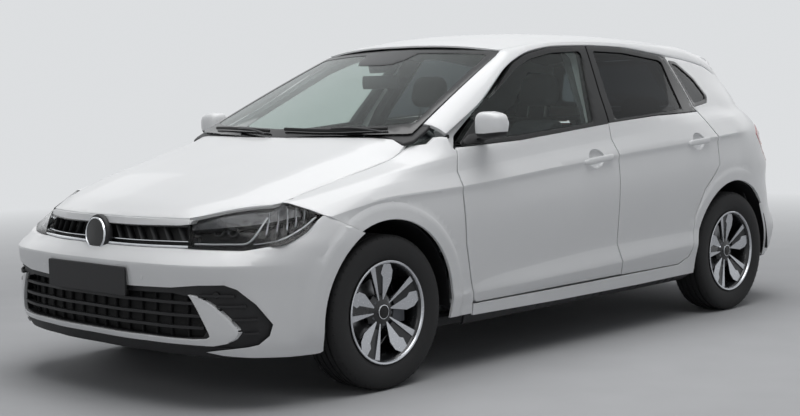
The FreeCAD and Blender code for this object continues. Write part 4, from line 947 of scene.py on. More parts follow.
def tailgate():
    """The tailgate's skin below the window, its window surround, its window and its spoiler."""
    half = [*tail_at([0, 300, 520, 566, 573, 573, 573], [660, 660, 664, 690, 760, 900, 1020]),
            *tail_at([560, 300, 0], [1052, 1050, 1050])]
    skin = slab("tailgate_skin", path(both(half), 22.0), tail, (0.0, -16.0, 0.0), PAINT, "tailgate",
                step=24.0, columns=lambda u: [737, 803, 809, 912, 918, 997, 1003])
    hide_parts("tailgate")
    ring = [(0, 1052), (300, 1052), (545, 1052), (600, 1062), (585, 1120), (545, 1210), (512, 1290),
            (300, 1310), (0, 1316)]
    hole = [(0, 1082), (300, 1082), (500, 1084), (528, 1096), (520, 1130), (478, 1230), (452, 1266),
            (300, 1284), (0, 1290)]
    slab("tail_window_surround", path(both(ring), 24.0), tail_window, (0.0, -16.0, 0.0), GLOSS, "tailgate",
         holes=[path(both(hole), 24.0)], step=26.0)
    pane = [(x * 1.015, 1182 + (z - 1182) * 1.03) for x, z in both(hole)]
    glass = slab("tail_window_pane", path(pane, 30.0), shifted(tail_window, dy=-4.0), (0.0, -4.0, 0.0),
                 GLASS_DARK, "tailgate", step=30.0)
    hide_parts("tailgate_glass")
    edge = [(0, 2741), (300, 2741), (518, 2741), (522, 2790), (506, 2842), (470, 2862), (300, 2878),
            (0, 2884)]
    slab("spoiler_top", path(both(edge), 26.0), roof, (0.0, 0.0, -20.0), PAINT, "tailgate", step=28.0,
         hem=3.0, rim=4.0)


def body_panels():
    for side, flip in SIDES:
        wing(side, flip)
        side_panels(side, flip)
        rails(side, flip)
    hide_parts("front_wings")
    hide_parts("body_side_left")
    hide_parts("body_side_right")
    roof_panel()
    bonnet()
    bumper_front()
    bumper_rear()
    tailgate()


body_panels()


# Doors


REAR_GAP = [(2350, 1031), (2363, 989), (2406, 906), (2396, 762), (2330, 706), (2259, 650), (2176, 521),
            (2139, 364), (2120, 319), (2044, 292)]
SPLIT_GAP = [(1512, 1003), (1505, 931), (1522, 856), (1523, 753), (1517, 441), (1560, 291)]
FRONT_GAP = [(458, 924), (433, 838), (431, 777), (450, 539), (508, 274)]


def beside_gap(rows, dy):
    return [(y + dy, z) for y, z in rows]


def ellipse(cy, cz, ry, rz, count=20):
    return np.array([(cy + ry * math.cos(2 * math.pi * k / count),
                      cz + rz * math.sin(2 * math.pi * k / count)) for k in range(count)])


def scoop(name, cy, cz, ry, rz, depth, body, flip):
    """A round hollow behind a door pull: rings from the skin to the bowl's bottom, closed by a back."""
    rings = []
    count = 20
    for share, down in ((1.04, 0.0), (1.0, 3.0), (0.92, 0.55 * depth), (0.7, 0.85 * depth), (0.4, depth)):
        ring = whole(ellipse(cy, cz, ry * share, rz * share, count))
        ring[:, 0] -= down
        rings.append(ring)
    middle = whole(np.array([[cy, cz]]))
    middle[:, 0] -= depth
    top = np.concatenate([*rings, middle])
    tris = []
    for i in range(len(rings) - 1):
        for k in range(count):
            a = i * count + k
            b = i * count + (k + 1) % count
            tris += [(a, b, a + count), (b, b + count, a + count)]
    last = (len(rings) - 1) * count
    tris += [(last + k, last + (k + 1) % count, len(top) - 1) for k in range(count)]
    tris = np.array(tris)
    a, b, c = (top[tris[:, i]] for i in range(3))
    if np.cross(b - a, c - a)[:, 0].sum() < 0:
        tris = tris[:, ::-1]
    back = top - np.array([4.0, 0.0, 0.0])
    return close(name, top, back, tris, PAINT, body, flip=flip)


def sweep(name, line, shape, finish, body="body", slot=None, flip=False, up=UP, scale=None):
    """A shape, (across, up) points, pushed along a line of (x, y, z) points, with closed ends."""
    line = np.asarray(line, float)
    shape = np.asarray(shape, float)
    ahead = np.gradient(line, axis=0)
    ahead /= np.linalg.norm(ahead, axis=1)[:, None]
    across = np.cross(np.broadcast_to(np.asarray(up, float), ahead.shape), ahead)
    across /= np.linalg.norm(across, axis=1)[:, None] + 1e-9
    rise = np.cross(ahead, across)
    sizes = np.ones(len(line)) if scale is None else np.asarray(scale, float)
    verts = []
    for p, a, u, s in zip(line, across, rise, sizes):
        verts += [p + (a * q[0] + u * q[1]) * s for q in shape]
    n = len(shape)
    count = len(line)
    faces = []
    for i in range(count - 1):
        for k in range(n):
            a = i * n + k
            b = i * n + (k + 1) % n
            faces.append((a, b, b + n, a + n))
    faces.append(tuple(reversed(range(n))))
    faces.append(tuple(range((count - 1) * n, count * n)))
    if area(shape) < 0:
        faces = [tuple(reversed(face)) for face in faces]
    return make(name, np.array(verts), faces, finish, body, slot, flip=flip)


def oval(width, height, count=12):
    return np.array([(width / 2 * math.cos(2 * math.pi * k / count),
                      height / 2 * math.sin(2 * math.pi * k / count)) for k in range(count)])


def pull(name, y0, y1, z0, z1, body, flip):
    """A door pull: a bar standing off the skin, with its ends rounded back into it."""
    line = []
    scale = []
    for k in range(19):
        t = k / 18.0
        y = y0 + (y1 - y0) * t
        z = z0 + (z1 - z0) * t
        off = 17.0 * (1.0 - (2.0 * t - 1.0) ** 8)
        line.append((skin_x(y, z) + off - 6.0, y, z))
        scale.append(max(0.3, (1.0 - (2.0 * t - 1.0) ** 10)))
    sweep(name, line, oval(13.0, 31.0, 14), PAINT, body, flip=flip, scale=scale)


DOORS = {
    "front": {
        "outline": [*beside_gap(FRONT_GAP[:-1], 3.0), (510, 300), (528, 287), (1548, 294),
                    *reversed(beside_gap(SPLIT_GAP, -3.0)), (1180, 976), (869, 949), (640, 940), (470, 934)],
        "grip": (1352, 846, 58, 43),
        "bar": (1250, 1474, 834, 852),
        "frame_line": [(472, 940, 8), (1032, 1285, 240), (1157, 1328, 300), (1324, 1356, 300),
                       (1622, 1368, 8), (1509, 1000, 4), (869, 950, 400)],
        "window": [(652, 960, 10), (650, 1062, 14), (1036, 1262, 200), (1160, 1304, 250), (1330, 1333, 250),
                   (1566, 1342, 16), (1402, 1010, 12), (900, 972, 500)],
        "pane": [(642, 952, 10), (640, 1068, 14), (1034, 1272, 200), (1160, 1312, 250), (1330, 1341, 250),
                 (1576, 1350, 16), (1406, 1000, 12), (900, 964, 500)],
        "glass": GLASS_CLEAR,
        "trim": [(508, 330, 30), (500, 560, 200), (494, 900, 20), (530, 934, 20), (869, 942, 300),
                 (1462, 990, 14), (1468, 560, 60), (1492, 334, 40)],
        "trim_depth": 56,
        "trim_marks": [410, 436, 820],
        "armrest": (640, 1400, 690),
    },
    "rear": {
        "outline": [*beside_gap(SPLIT_GAP, 3.0), (1590, 291), (2030, 292),
                    *reversed(beside_gap(REAR_GAP, -3.0)), (2347, 1034), (1900, 1024)],
        "grip": (2214, 890, 56, 42),
        "bar": (2108, 2318, 884, 896),
        "frame_line": [(1629, 1368, 8), (1906, 1361, 500), (2231, 1322, 60), (2260, 1308, 14),
                       (2318, 1058, 20), (2342, 1038, 6), (1900, 1028, 500), (1517, 1004, 4)],
        "window": [(1664, 1343, 14), (1906, 1335, 500), (2196, 1299, 40), (2222, 1288, 14), (2190, 1052, 12),
                   (1572, 1018, 12)],
        "pane": [(1656, 1351, 14), (1906, 1343, 500), (2200, 1307, 40), (2232, 1292, 14), (2200, 1042, 12),
                 (1560, 1010, 12)],
        "glass": GLASS_DARK,
        "trim": [(1586, 336, 40), (1574, 560, 60), (1576, 986, 14), (2280, 1018, 30), (2330, 930, 60),
                 (2318, 800, 120), (2180, 560, 200), (2084, 410, 60), (2030, 338, 40)],
        "trim_depth": 48,
        "trim_marks": [440, 460, 880],
        "armrest": (1650, 2120, 720),
    },
}


def door(which, side, flip, outline, grip, bar, frame_line, window, pane, glass, trim, trim_depth,
         trim_marks, armrest):
    """A door: its skin with a scoop and a pull, its window frame, its pane and its lining."""
    body = "door_%s_%s" % (which, side)
    name = "door_" + which + "_%s_" + side
    skin = slab(name % "skin", path(outline), whole, in_by(15), PAINT, body, holes=[ellipse(*grip)],
                columns=whole_columns, flip=flip, step=22.0)
    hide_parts(body)
    scoop(name % "scoop", *grip, 24, body, flip)
    pull(name % "pull", *bar, body, flip)
    slab(name % "frame", rounded(frame_line), shifted(whole, 1.0), in_by(34), GLOSS, body,
         holes=[rounded(window)], columns=whole_columns, flip=flip)
    pane = slab(name % "pane", rounded(pane), shifted(whole, -6.0), in_by(4), glass, body,
                columns=whole_columns, flip=flip)
    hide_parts("glass_%s_%s" % (which, side))
    slab(name % "trim", rounded(trim), shifted(whole, -30.0), in_by(trim_depth), CABIN, body, flip=flip,
         step=60.0, columns=lambda u: trim_marks)
    door_inside(name, flip, body, *armrest)


def door_inside(name, flip, body, y0, y1, arm_z):
    """An armrest and a map pocket on the inner face."""
    at = skin_x((y0 + y1) / 2, arm_z) - 84.0
    line = [(at - 18.0, y, arm_z + 10.0 * math.sin((y - y0) / (y1 - y0) * math.pi))
            for y in np.linspace(y0, y1, 12)]
    sweep(name % "armrest", line, oval(46.0, 58.0, 14), CABIN_LIGHT, body, flip=flip)
    at = skin_x((y0 + y1) / 2, 420) - 84.0
    line = [(at - 10.0, y, 400.0) for y in np.linspace(y0 + 40, y1 - 90, 10)]
    sweep(name % "pocket", line, oval(34.0, 120.0, 14), CABIN, body, flip=flip)


# Mirrors


def mirror(side, flip):
    """A mirror: a white cap, a black lower shell, a glass facing back, and a foot on the door's sail."""
    body = "door_front_" + side
    centre = np.array([914.0, 573.0, 1024.0])
    half = np.array([67.0, 64.0, 57.0])

    def shell(low, high, grow, name, finish):
        verts = []
        rows = 15
        cols = 36
        for i in range(rows):
            lat = math.radians(low + (high - low) * i / (rows - 1))
            for k in range(cols):
                lon = 2 * math.pi * k / cols
                cx = math.copysign(abs(math.cos(lon)) ** 0.48, math.cos(lon)) * math.cos(lat) ** 0.36
                cy = math.copysign(abs(math.sin(lon)) ** 0.62, math.sin(lon)) * math.cos(lat) ** 0.45
                cz = math.copysign(abs(math.sin(lat)) ** 0.62, math.sin(lat))
                taper = 1.0 - 0.2 * max(0.0, cx)
                y = cy * half[1] * (0.62 if cy > 0 else 1.0)
                verts.append(centre + np.array([cx * half[0], y * taper, cz * half[2] * taper]) * grow)
        faces = []
        for i in range(rows - 1):
            for k in range(cols):
                a = i * cols + k
                b = i * cols + (k + 1) % cols
                faces.append((a, b, b + cols, a + cols))
        faces.append(tuple(reversed(range(cols))))
        faces.append(tuple(range((rows - 1) * cols, rows * cols)))
        return make(name, verts, faces, finish, body, sharp=40.0, flip=flip)

    cap = shell(-24.0, 88.0, 1.0, "mirror_cap_" + side, PAINT)
    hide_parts("mirror_" + side)
    shell(-88.0, -23.0, 0.99, "mirror_base_" + side, BLACK)
    glass = rounded([(878, 994, 20), (962, 1000, 24), (966, 1052, 26), (884, 1066, 22)])
    slab("mirror_glass_" + side, glass, plane(1, 614.5), (0.0, -5.0, 0.0), CHROME, body, step=30.0, flip=flip)
    line = [(812, 618, 966), (838, 612, 972), (866, 604, 978), (892, 596, 984), (910, 590, 988)]
    sweep("mirror_arm_" + side, line, oval(58.0, 20.0, 14), BLACK, body, flip=flip)
    foot = rounded([(478, 943, 10), (646, 950, 14), (640, 992, 10), (560, 984, 40)])
    slab("mirror_foot_" + side, foot, shifted(whole, 5.0), in_by(16), BLACK, body, flip=flip, hem=3.0,
         rim=4.0)


# Windscreen


def windscreen_parts():
    low = [(0, 122), (150, 140), (300, 174), (400, 200), (560, 262), (664, 308), (686, 324)]
    high = [(568, 1030), (552, 1034), (430, 1002), (300, 976), (150, 960), (0, 955)]
    outline = path(both([*low, *high]), 36.0)
    pane = slab("windscreen_pane", outline, shifted(windscreen, dz=-1.0), (0.0, 1.5, -4.5), GLASS_CLEAR,
                step=40.0)
    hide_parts("fixed_glass")
    hole_low = [(0, 196), (150, 212), (300, 244), (400, 268), (540, 322), (626, 372), (640, 392)]
    hole_high = [(538, 972), (520, 982), (430, 960), (300, 936), (170, 920), (150, 850), (110, 800),
                 (60, 790), (0, 790)]
    slab("windscreen_border", outline, shifted(windscreen, dz=0.6), (0.0, 0.4, -1.2), GLOSS,
         holes=[path(both([*hole_low, *hole_high]), 36.0)], step=40.0, hem=0.3)
    cowl_low = [(0, 100), (150, 112), (300, 140), (400, 168), (500, 202), (640, 260), (690, 292)]
    cowl_high = [(682, 330), (660, 322), (560, 272), (400, 212), (300, 186), (150, 152), (0, 136)]
    slab("scuttle_panel", path(both([*cowl_low, *cowl_high]), 30.0), shifted(windscreen, dz=-13.0),
         (0.0, 0.0, -10.0), BLACK, step=30.0)
    for name, start, end, sag in (("wiper_driver", (575, 292), (60, 178), -34.0),
                                  ("wiper_passenger", (-20, 160), (-520, 268), -14.0)):
        line = []
        for k in range(14):
            t = k / 13.0
            x = start[0] + (end[0] - start[0]) * t
            y = start[1] + (end[1] - start[1]) * t + sag * math.sin(math.pi * t)
            line.append((x, y, float(screen_height(x, y)) + 11.0))
        sweep(name + "_blade", line, oval(9.0, 14.0, 8), SEAL)
        arm = []
        for k in range(10):
            t = k / 9.0
            x = start[0] + 10 + (0.5 * (start[0] + end[0]) - start[0]) * t
            y = start[1] - 34 + (0.5 * (end[1] - start[1]) + 6.0) * t
            arm.append((x, y, float(screen_height(x, y)) + 16.0 + 6.0 * math.sin(math.pi * t)))
        sweep(name + "_arm", arm, oval(16.0, 9.0, 8), BLACK)
    slab("rear_view_mount", rounded([(-52, 800, 20), (52, 800, 20), (70, 930, 20), (-70, 930, 20)]),
         shifted(windscreen, dz=-8.0), (0.0, 10.0, -34.0), CABIN, step=30.0)
    line = [(x, 838.0 + abs(x) * 0.03, 1212.0) for x in np.linspace(-118, 118, 9)]
    sweep("inside_mirror", line, oval(18.0, 62.0, 16), CABIN)


# Lamps


LAMP_STEPS = 30
LAMP_LOW = [(487, -690, 605), (590, -652, 603), (705, -600, 603), (775, -556, 612), (826, -506, 627),
            (838, -420, 661), (834, -364, 692), (829, -326, 718)]
LAMP_HIGH = [(462, -660, 714), (540, -570, 729), (606, -478, 743), (655, -408, 754), (704, -389, 760),
             (750, -368, 748), (795, -344, 732), (827, -328, 720)]


def along(points, count):
    """count points evenly along a smooth line through the given ones."""
    points = np.array(points, float)
    size = np.concatenate([[0], np.cumsum(np.linalg.norm(np.diff(points, axis=0), axis=1))])
    at = np.linspace(0, size[-1], count)
    return np.stack([smooth(size, points[:, i])(at) for i in range(3)], axis=1)


def ruled(name, low, high, way, finish, flip, bulge=0.0, across=9, span=(0.0, 1.0), part=(0.0, 1.0),
          shift=(0.0, 0.0, 0.0)):
    """A closed panel between two lines, pushed out in the middle. span is its share of the way from low to
    high, and part its share along them."""
    a = along(low, LAMP_STEPS)
    b = along(high, LAMP_STEPS)
    first = int(part[0] * (LAMP_STEPS - 1))
    last = int(part[1] * (LAMP_STEPS - 1)) + 1
    a = a[first:last]
    b = b[first:last]
    rows = []
    out = -np.asarray(way, float)
    out /= np.linalg.norm(out)
    for i in range(across):
        t = span[0] + (span[1] - span[0]) * i / (across - 1)
        rows.append(a + (b - a) * t + out * bulge * math.sin(math.pi * t) + np.asarray(shift, float))
    top = np.concatenate(rows)
    n = len(a)
    tris = []
    for i in range(across - 1):
        for k in range(n - 1):
            p = i * n + k
            tris += [(p, p + 1, p + n), (p + 1, p + n + 1, p + n)]
    tris = np.array(tris)
    u, v, w = (top[tris[:, i]] for i in range(3))
    if (np.cross(v - u, w - u) @ out).sum() < 0:
        tris = tris[:, ::-1]
    return close(name, top, top + np.asarray(way, float), tris, finish, flip=flip)


def headlamp(side, flip):
    lens = ruled("headlamp_lens_" + side, LAMP_LOW, LAMP_HIGH, (-1.6, 3.2, -1.6), LENS, flip=flip, bulge=6.0)
    if not flip:
        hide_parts("headlamps")
    ruled("headlamp_rim_low_" + side, LAMP_LOW, LAMP_HIGH, (-10, 22, -6), GLOSS, flip=flip,
          span=(-0.015, 0.05), across=3, shift=(-1, 2, 0))
    ruled("headlamp_housing_" + side, LAMP_LOW, LAMP_HIGH, (-16, 24, -6), GLOSS, flip=flip,
          shift=(-26, 46, -6))
    ruled("headlamp_shelf_" + side, LAMP_LOW, LAMP_HIGH, (-6, 8, -14), LAMP_GREY, flip=flip,
          span=(0.58, 0.97), part=(0.03, 0.8), across=5, shift=(-14, 24, -2))
    low = along(LAMP_LOW, LAMP_STEPS)
    high = along(LAMP_HIGH, LAMP_STEPS)
    first = [low[k] + (high[k] - low[k]) * 0.12 for k in range(1, 12)]
    kink = [low[k] + (high[k] - low[k]) * share
            for k, share in ((12, 0.16), (13, 0.26), (14, 0.4), (15, 0.56), (16, 0.7))]
    line = [p + np.array([-6.0, 11.0, 0.0]) for p in (*first, *kink)]
    sweep("headlamp_day_line_" + side, along(line, 30), oval(7.0, 7.0, 8), LAMP_WHITE, flip=flip)
    second = [low[k] + (high[k] - low[k]) * share for k, share in
              ((13, 0.1), (15, 0.09), (18, 0.1), (21, 0.13), (24, 0.2), (27, 0.38))]
    line = [p + np.array([-7.0, 11.0, 0.0]) for p in second]
    sweep("headlamp_outer_line_" + side, along(line, 26), oval(6.0, 6.0, 8), CHROME, slot="clear_lens",
          flip=flip)
    for k in range(5):
        i = 15 + 2 * k
        a = low[i] + (high[i] - low[i]) * 0.26 + np.array([-14.0, 26.0, 0.0])
        b = low[i + 1] + (high[i + 1] - low[i + 1]) * 0.78 + np.array([-16.0, 30.0, 0.0])
        bar = along([a, (a + b) / 2 + np.array([-2.0, 4.0, 0.0]), b], 8)
        sweep("headlamp_rib_%d_%s" % (k + 1, side), bar, oval(20.0, 9.0, 10), CHROME, slot="clear_lens",
              flip=flip, up=(0.0, 1.0, 0.3))
    for k, (i, share, size) in enumerate(((5, 0.5, 24.0), (8, 0.46, 22.0))):
        at = low[i] + (high[i] - low[i]) * share + np.array([-18.0, 40.0, 0.0])
        dish("headlamp_dish_%d_%s" % (k + 1, side), at, (0.42, -0.85, 0.3), size, 16.0, LAMP_GREY, flip)


def dish(name, at, facing, radius, depth, finish, flip):
    """A hollow round reflector with a closed back."""
    rings = 5
    turn = towards(*Vector(facing).normalized())
    profile = [(radius, 0.0)]
    profile += [(radius * (1 - k / rings) * 0.94, -depth * (1 - (1 - k / rings) ** 2)) for k in range(rings)]
    profile += [(radius * 0.12, -depth - 3), (radius * 1.02, -depth - 3), (radius * 1.02, 0.0)]
    lathe(name, profile, at, turn, finish, flip=flip, count=24)


def lathe(name, profile, at, turn, finish, body="body", slot=None, flip=False, count=48, sharp=32.0):
    """A closed profile of (radius, height) rows turned round the local z axis. 0.01 stands for the axis."""
    verts = []
    n = len(profile)
    for k in range(count):
        a = 2 * math.pi * k / count
        for radius, height in profile:
            place = turn @ Vector((radius * math.cos(a), radius * math.sin(a), height))
            verts.append(np.array(at) + np.array(place))
    faces = []
    for k in range(count):
        for i in range(n):
            a = k * n + i
            b = k * n + (i + 1) % n
            c = ((k + 1) % count) * n + (i + 1) % n
            d = ((k + 1) % count) * n + i
            faces.append((a, b, c, d))
    loop = np.array(profile, float)
    if area(loop) > 0:
        faces = [tuple(reversed(face)) for face in faces]
    return make(name, np.array(verts), faces, finish, body, slot, sharp, flip)


def tail_lamp(side, flip):
    front = tail_beside([2887, 2974], [904, 951])
    top = tail_at([700, 640, 584], [953, 953, 952])
    low = tail_at([584, 640, 700], [752, 750, 750])
    tip = tail_beside([3028, 2996], [749, 782])
    lamp = slab("tail_lamp_" + side, dense(np.concatenate([front, top, low, tip]), 14.0), sunk_tail(-1.5),
                (-8.0, -24.0, 0.0), RED_LENS, flip=flip, step=16.0, hem=3.0, rim=4.0)
    if not flip:
        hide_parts("tail_lamps")
    inner = tail_at([572, 572, 470, 404, 398], [752, 951, 948, 926, 772])
    slab("tail_lamp_inner_" + side, rounded([(p[0], p[1], 10) for p in inner], 16.0), sunk_tail(-2.0),
         (0.0, -12.0, 0.0), RED_LENS, "tailgate", flip=flip, step=16.0, hem=3.0, rim=4.0)
    for k, z in enumerate((796, 850, 904)):
        band = np.concatenate([tail_at([600, 690], [z - 9, z - 9]), tail_beside([3006], [z - 9]),
                               tail_beside([3006], [z + 9]), tail_at([690, 600], [z + 9, z + 9])])
        slab("tail_lamp_band_%d_%s" % (k + 1, side), dense(band, 14.0), sunk_tail(-3.0), (-3.0, -6.0, 0.0),
             RED_DARK if k != 1 else AMBER, flip=flip, step=14.0)


# Grille, intake and plate


def level_line(x0, x1, z, deeper):
    """A line along the nose at one height, moved inwards."""
    return sunk_nose(deeper)(nose_at(np.linspace(x0, x1, 40), np.full(40, float(z))))


def front_details():
    half = nose_at([0, 300, 486, 470, 462, 300, 0], [600, 600, 604, 660, 688, 688, 688])
    back = slab("grille_back", path(both(half), 24.0), sunk_nose(44.0), (0.0, 8.0, 0.0), DEEP, step=30.0)
    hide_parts("front_grilles")
    for k, (z, deep, thick) in enumerate(((609, 5.0, 11.0), (626, 12.0, 6.0))):
        for side, flip in SIDES:
            line = level_line(70, 484 if k == 0 else 478, z, deep)
            sweep("grille_strip_%d_%s" % (k + 1, side), line, oval(8.0, thick, 8), CHROME, flip=flip)
    for side, flip in SIDES:
        line = level_line(60, 466, 682, 9.0)
        sweep("grille_top_bar_" + side, line, oval(16.0, 9.0, 8), GLOSS, flip=flip)
        for k in range(6):
            x = 96 + 66 * k
            a = sunk_nose(30.0)(nose_at([x + 34], [626]))[0]
            b = sunk_nose(24.0)(nose_at([x], [680]))[0]
            sweep("grille_fin_%d_%s" % (k + 1, side), [a, (a + b) / 2, b], oval(10.0, 30.0, 8), BLACK,
                  flip=flip, up=BACK)
        for k, z in enumerate((318, 362, 408)):
            line = level_line(0, (618, 604, 580)[k], z, 26.0)
            section = [(-14, -5), (10, -6), (14, -2), (14, 3), (-14, 6)]
            sweep("intake_bar_%d_%s" % (k + 1, side), line, section, BLACK, flip=flip)
        for k in range(7):
            x = 40 + 84 * k
            a = sunk_nose(50.0)(nose_at([x], [276]))[0]
            b = sunk_nose(50.0)(nose_at([x], [452]))[0]
            sweep("intake_slat_%d_%s" % (k + 1, side), [a, (a + b) / 2, b], oval(6.0, 18.0, 8), BLACK,
                  flip=flip, up=BACK)
        for k, (z, x0, x1) in enumerate(((440, 600, 722), (402, 664, 752), (352, 712, 776), (300, 742, 776))):
            line = level_line(x0, x1, z, 9.0)
            sweep("side_intake_rib_%d_%s" % (k + 1, side), line,
                  [(-10, -4), (8, -5), (11, 0), (8, 4), (-10, 4)], BLACK, flip=flip)
        at = sunk_nose(8.0)(nose_at([662], [443]))[0]
        turn = towards(0.55, -0.83, 0.0)
        lathe("towing_plug_" + side, [(0.01, 4.0), (11.0, 4.0), (12.5, 2.0), (12.5, -6.0), (0.01, -6.0)], at,
              turn, GLOSS, flip=flip, count=24)
        at = nose(nose_at([330], [496]))[0]
        turn = towards(0.1, -1.0, 0.0)
        lathe("parking_sensor_" + side, [(0.01, 1.4), (8.0, 1.2), (9.5, 0.0), (9.5, -4.0), (0.01, -4.0)], at,
              turn, PAINT, flip=flip, count=24)
    turn = towards(0.0, -1.0, 0.08)
    at = np.array([0.0, -774.0, 640.0])
    lathe("badge_surround", [(0.01, -30.0), (0.01, -6.0), (60.0, -4.0), (73.0, -8.0), (77.0, -16.0),
                             (77.0, -30.0)], at, turn, BLACK, count=56)
    lathe("badge_ring", [(58.0, -4.0), (59.0, 0.0), (62.0, 2.0), (65.0, 0.0), (66.0, -4.0)], at, turn, CHROME,
          count=64)
    lathe("badge_disc", [(0.01, -5.0), (0.01, 1.5), (30.0, 0.8), (58.5, -2.0), (58.5, -5.0)], at, turn, GLOSS,
          count=56)
    carrier = rounded([(-262, 420, 8), (262, 420, 8), (262, 530, 8), (-262, 530, 8)])
    plate = slab("plate_carrier", carrier, plane(1, -824.9), (0.0, 7.5, 0.0), BLACK, slot="plate_blank",
                 step=40.0)
    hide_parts("number_plates")
    for k, (x, z) in enumerate(((-190, 508), (0, 508), (190, 508), (-105, 448), (105, 448))):
        turn = towards(0.0, -1.0, 0.0)
        lathe("plate_dimple_%d" % (k + 1), [(4.0, -3.0), (6.0, 0.4), (9.0, 0.4), (10.5, -3.0)],
              (x, -824.4, z), turn, GLOSS, slot="plate_blank", count=24)


def wheel(end, flip, y, track):
    """A tyre with grooves and a two-tone alloy rim."""
    body = "wheel_" + end
    turn = towards(1.0, 0.0, 0.0)
    at = (track / 2.0, y, AXLE_Z + 4.0)
    grooves = []
    for g in (-48, -17, 17, 48):
        grooves += [(306.5, g - 5.5), (299.5, g - 4.5), (299.5, g + 4.5), (306.5, g + 5.5)]
    profile = [(206, -76), (214, -82), (232, -88), (258, -91), (282, -89), (297, -82), (304, -72),
               (306.5, -62), *grooves, (306.5, 62), (304, 72), (297, 82), (282, 89), (258, 91), (232, 88),
               (214, 82), (206, 76), (198, 74), (196, 60), (196, -60), (198, -74)]
    tyre = lathe("tyre_visual_" + end, profile, at, turn, RUBBER, body, flip=flip, count=96, sharp=38.0)
    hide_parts("tyre_" + end)
    sipes(end, at, body, flip)
    barrel = [(205, 78), (207, 84), (203, 85), (197, 80), (192, 66), (186, 30), (182, -40), (190, -66),
              (203, -80), (203, -84), (196, -80), (184, -62), (176, -36), (180, 30), (187, 62), (193, 74),
              (198, 78)]
    rim = lathe("rim_barrel_" + end, barrel, at, turn, ALLOY_DARK, body, flip=flip, count=72)
    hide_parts("rim_" + end)
    lathe("rim_edge_" + end, [(194, 79), (197, 84.5), (203, 86), (206, 84), (204, 80)], at, turn, ALLOY, body,
          flip=flip, count=72)
    lathe("rim_hub_" + end, [(0.01, -20), (60, -20), (60, 36), (75, 39), (66, 44), (44, 52), (30, 54),
                             (0.01, 54)], at, turn, ALLOY_DARK, body, flip=flip, count=48)
    lathe("rim_cap_" + end, [(0.01, 50), (27, 50), (27, 57), (24, 60), (0.01, 61.5)], at, turn, GLOSS, body,
          slot="alloy", flip=flip, count=40)
    lathe("rim_cap_ring_" + end, [(25, 56), (26, 60.5), (28.5, 60), (29, 55)], at, turn, CHROME, body,
          slot="alloy", flip=flip, count=40)
    for k in range(5):
        base = 110.0 + 72.0 * k
        spoke(end, "arm", k, base - 13.0, [(73, -32), (110, -42), (150, -56), (190, -64), (190, 44),
                                           (150, 34), (110, 26), (73, 20)], (39, 46, 66), at, turn,
              ALLOY_DARK, body, flip)
        spoke(end, "narrow", k, base, [(46, -1.5), (192, -13), (193, 14), (46, 3)], (47, 50, 70), at, turn,
              ALLOY, body, flip)
        spoke(end, "wide", k, base - 26.0, [(48, -3), (126, -34), (164, -31), (193, -10), (192, 26),
                                            (152, 31), (138, 17), (48, 1.5)], (47, 50, 70), at, turn, ALLOY,
              body, flip)
        a = math.radians(base + 23.0)
        bolt = np.array(at) + np.array(turn @ Vector((50.0 * math.cos(a), 50.0 * math.sin(a), 36.0)))
        lathe("wheel_bolt_%d_%s" % (k + 1, end), [(0.01, 0), (8.5, 0), (8.5, 12), (6.5, 14), (0.01, 14)],
              bolt, turn, STEEL, body, slot="alloy", flip=flip, count=6)
    lathe("brake_disc_" + end, [(62, -14), (128, -14), (128, 2), (62, 2)], at, turn, DISC,
          "knuckle_" + end.split("_")[1] if end.startswith("front") else "body", flip=flip, count=56)


def sipes(end, at, body, flip):
    """Short cuts across the tyre's shoulders, as bars standing a little proud, darker than the tyre as
    painted shade in the cuts.
    """
    verts = []
    faces = []
    for k in range(60):
        a = 2 * math.pi * (k + 0.5) / 60
        for low, high, lean in ((60, 84, 0.012), (-84, -60, -0.012)):
            i = len(verts)
            for inner, outer in ((306.9, 298.0), (302.0, 294.0)):
                for across, lift in zip((low, high), (inner, outer) if low > 0 else (outer, inner)):
                    for offset in (-0.0055, 0.0055):
                        b = a + offset + lean * (across / 84.0)
                        verts.append((at[0] + across, at[1] + lift * math.cos(b), at[2] + lift * math.sin(b)))
            faces += [(i, i + 1, i + 3, i + 2), (i + 4, i + 6, i + 7, i + 5), (i, i + 2, i + 6, i + 4),
                      (i + 1, i + 5, i + 7, i + 3), (i, i + 4, i + 5, i + 1), (i + 2, i + 3, i + 7, i + 6)]
    make("tyre_sipes_" + end, verts, faces, DEEP, body, "tyre_rubber", flip=flip)


def spoke(end, kind, k, angle, outline, heights, at, turn, finish, body, flip):
    """A flat arm of the rim: a (radius, offset) outline turned to its angle, rising from the hub outwards."""
    a = math.radians(angle)
    low, inner, outer = heights
    loop = np.array(outline, float)
    if area(loop) < 0:
        loop = loop[::-1]
    verts = []
    for depth in (1.0, 0.0):
        for radius, offset in loop:
            share = (radius - 46.0) / 146.0
            face = inner + (outer - inner) * max(share, 0.0) ** 1.5
            drop = (face - low if kind == "arm" else 6.0) * (1.0 - depth)
            radial = Vector((math.cos(a), math.sin(a), 0.0)) * radius
            side = Vector((-math.sin(a), math.cos(a), 0.0)) * offset
            verts.append(np.array(at) + np.array(turn @ (radial + side + Vector((0, 0, face - drop)))))
    n = len(loop)
    faces = [tuple(range(n)), tuple(reversed(range(n, 2 * n)))]
    faces += [(i, i + n, (i + 1) % n + n, (i + 1) % n) for i in range(n)]
    make("spoke_%s_%d_%s" % (kind, k + 1, end), verts, faces, finish, body, flip=flip)


for SIDE, FLIP in SIDES:
    for WHICH, SHAPE in DOORS.items():
        door(WHICH, SIDE, FLIP, **SHAPE)
    mirror(SIDE, FLIP)
    headlamp(SIDE, FLIP)
    tail_lamp(SIDE, FLIP)
    wheel("front_" + SIDE, FLIP, 0.0, FRONT_TRACK)
    wheel("rear_" + SIDE, FLIP, REAR, REAR_TRACK)
windscreen_parts()
front_details()


# Cabin


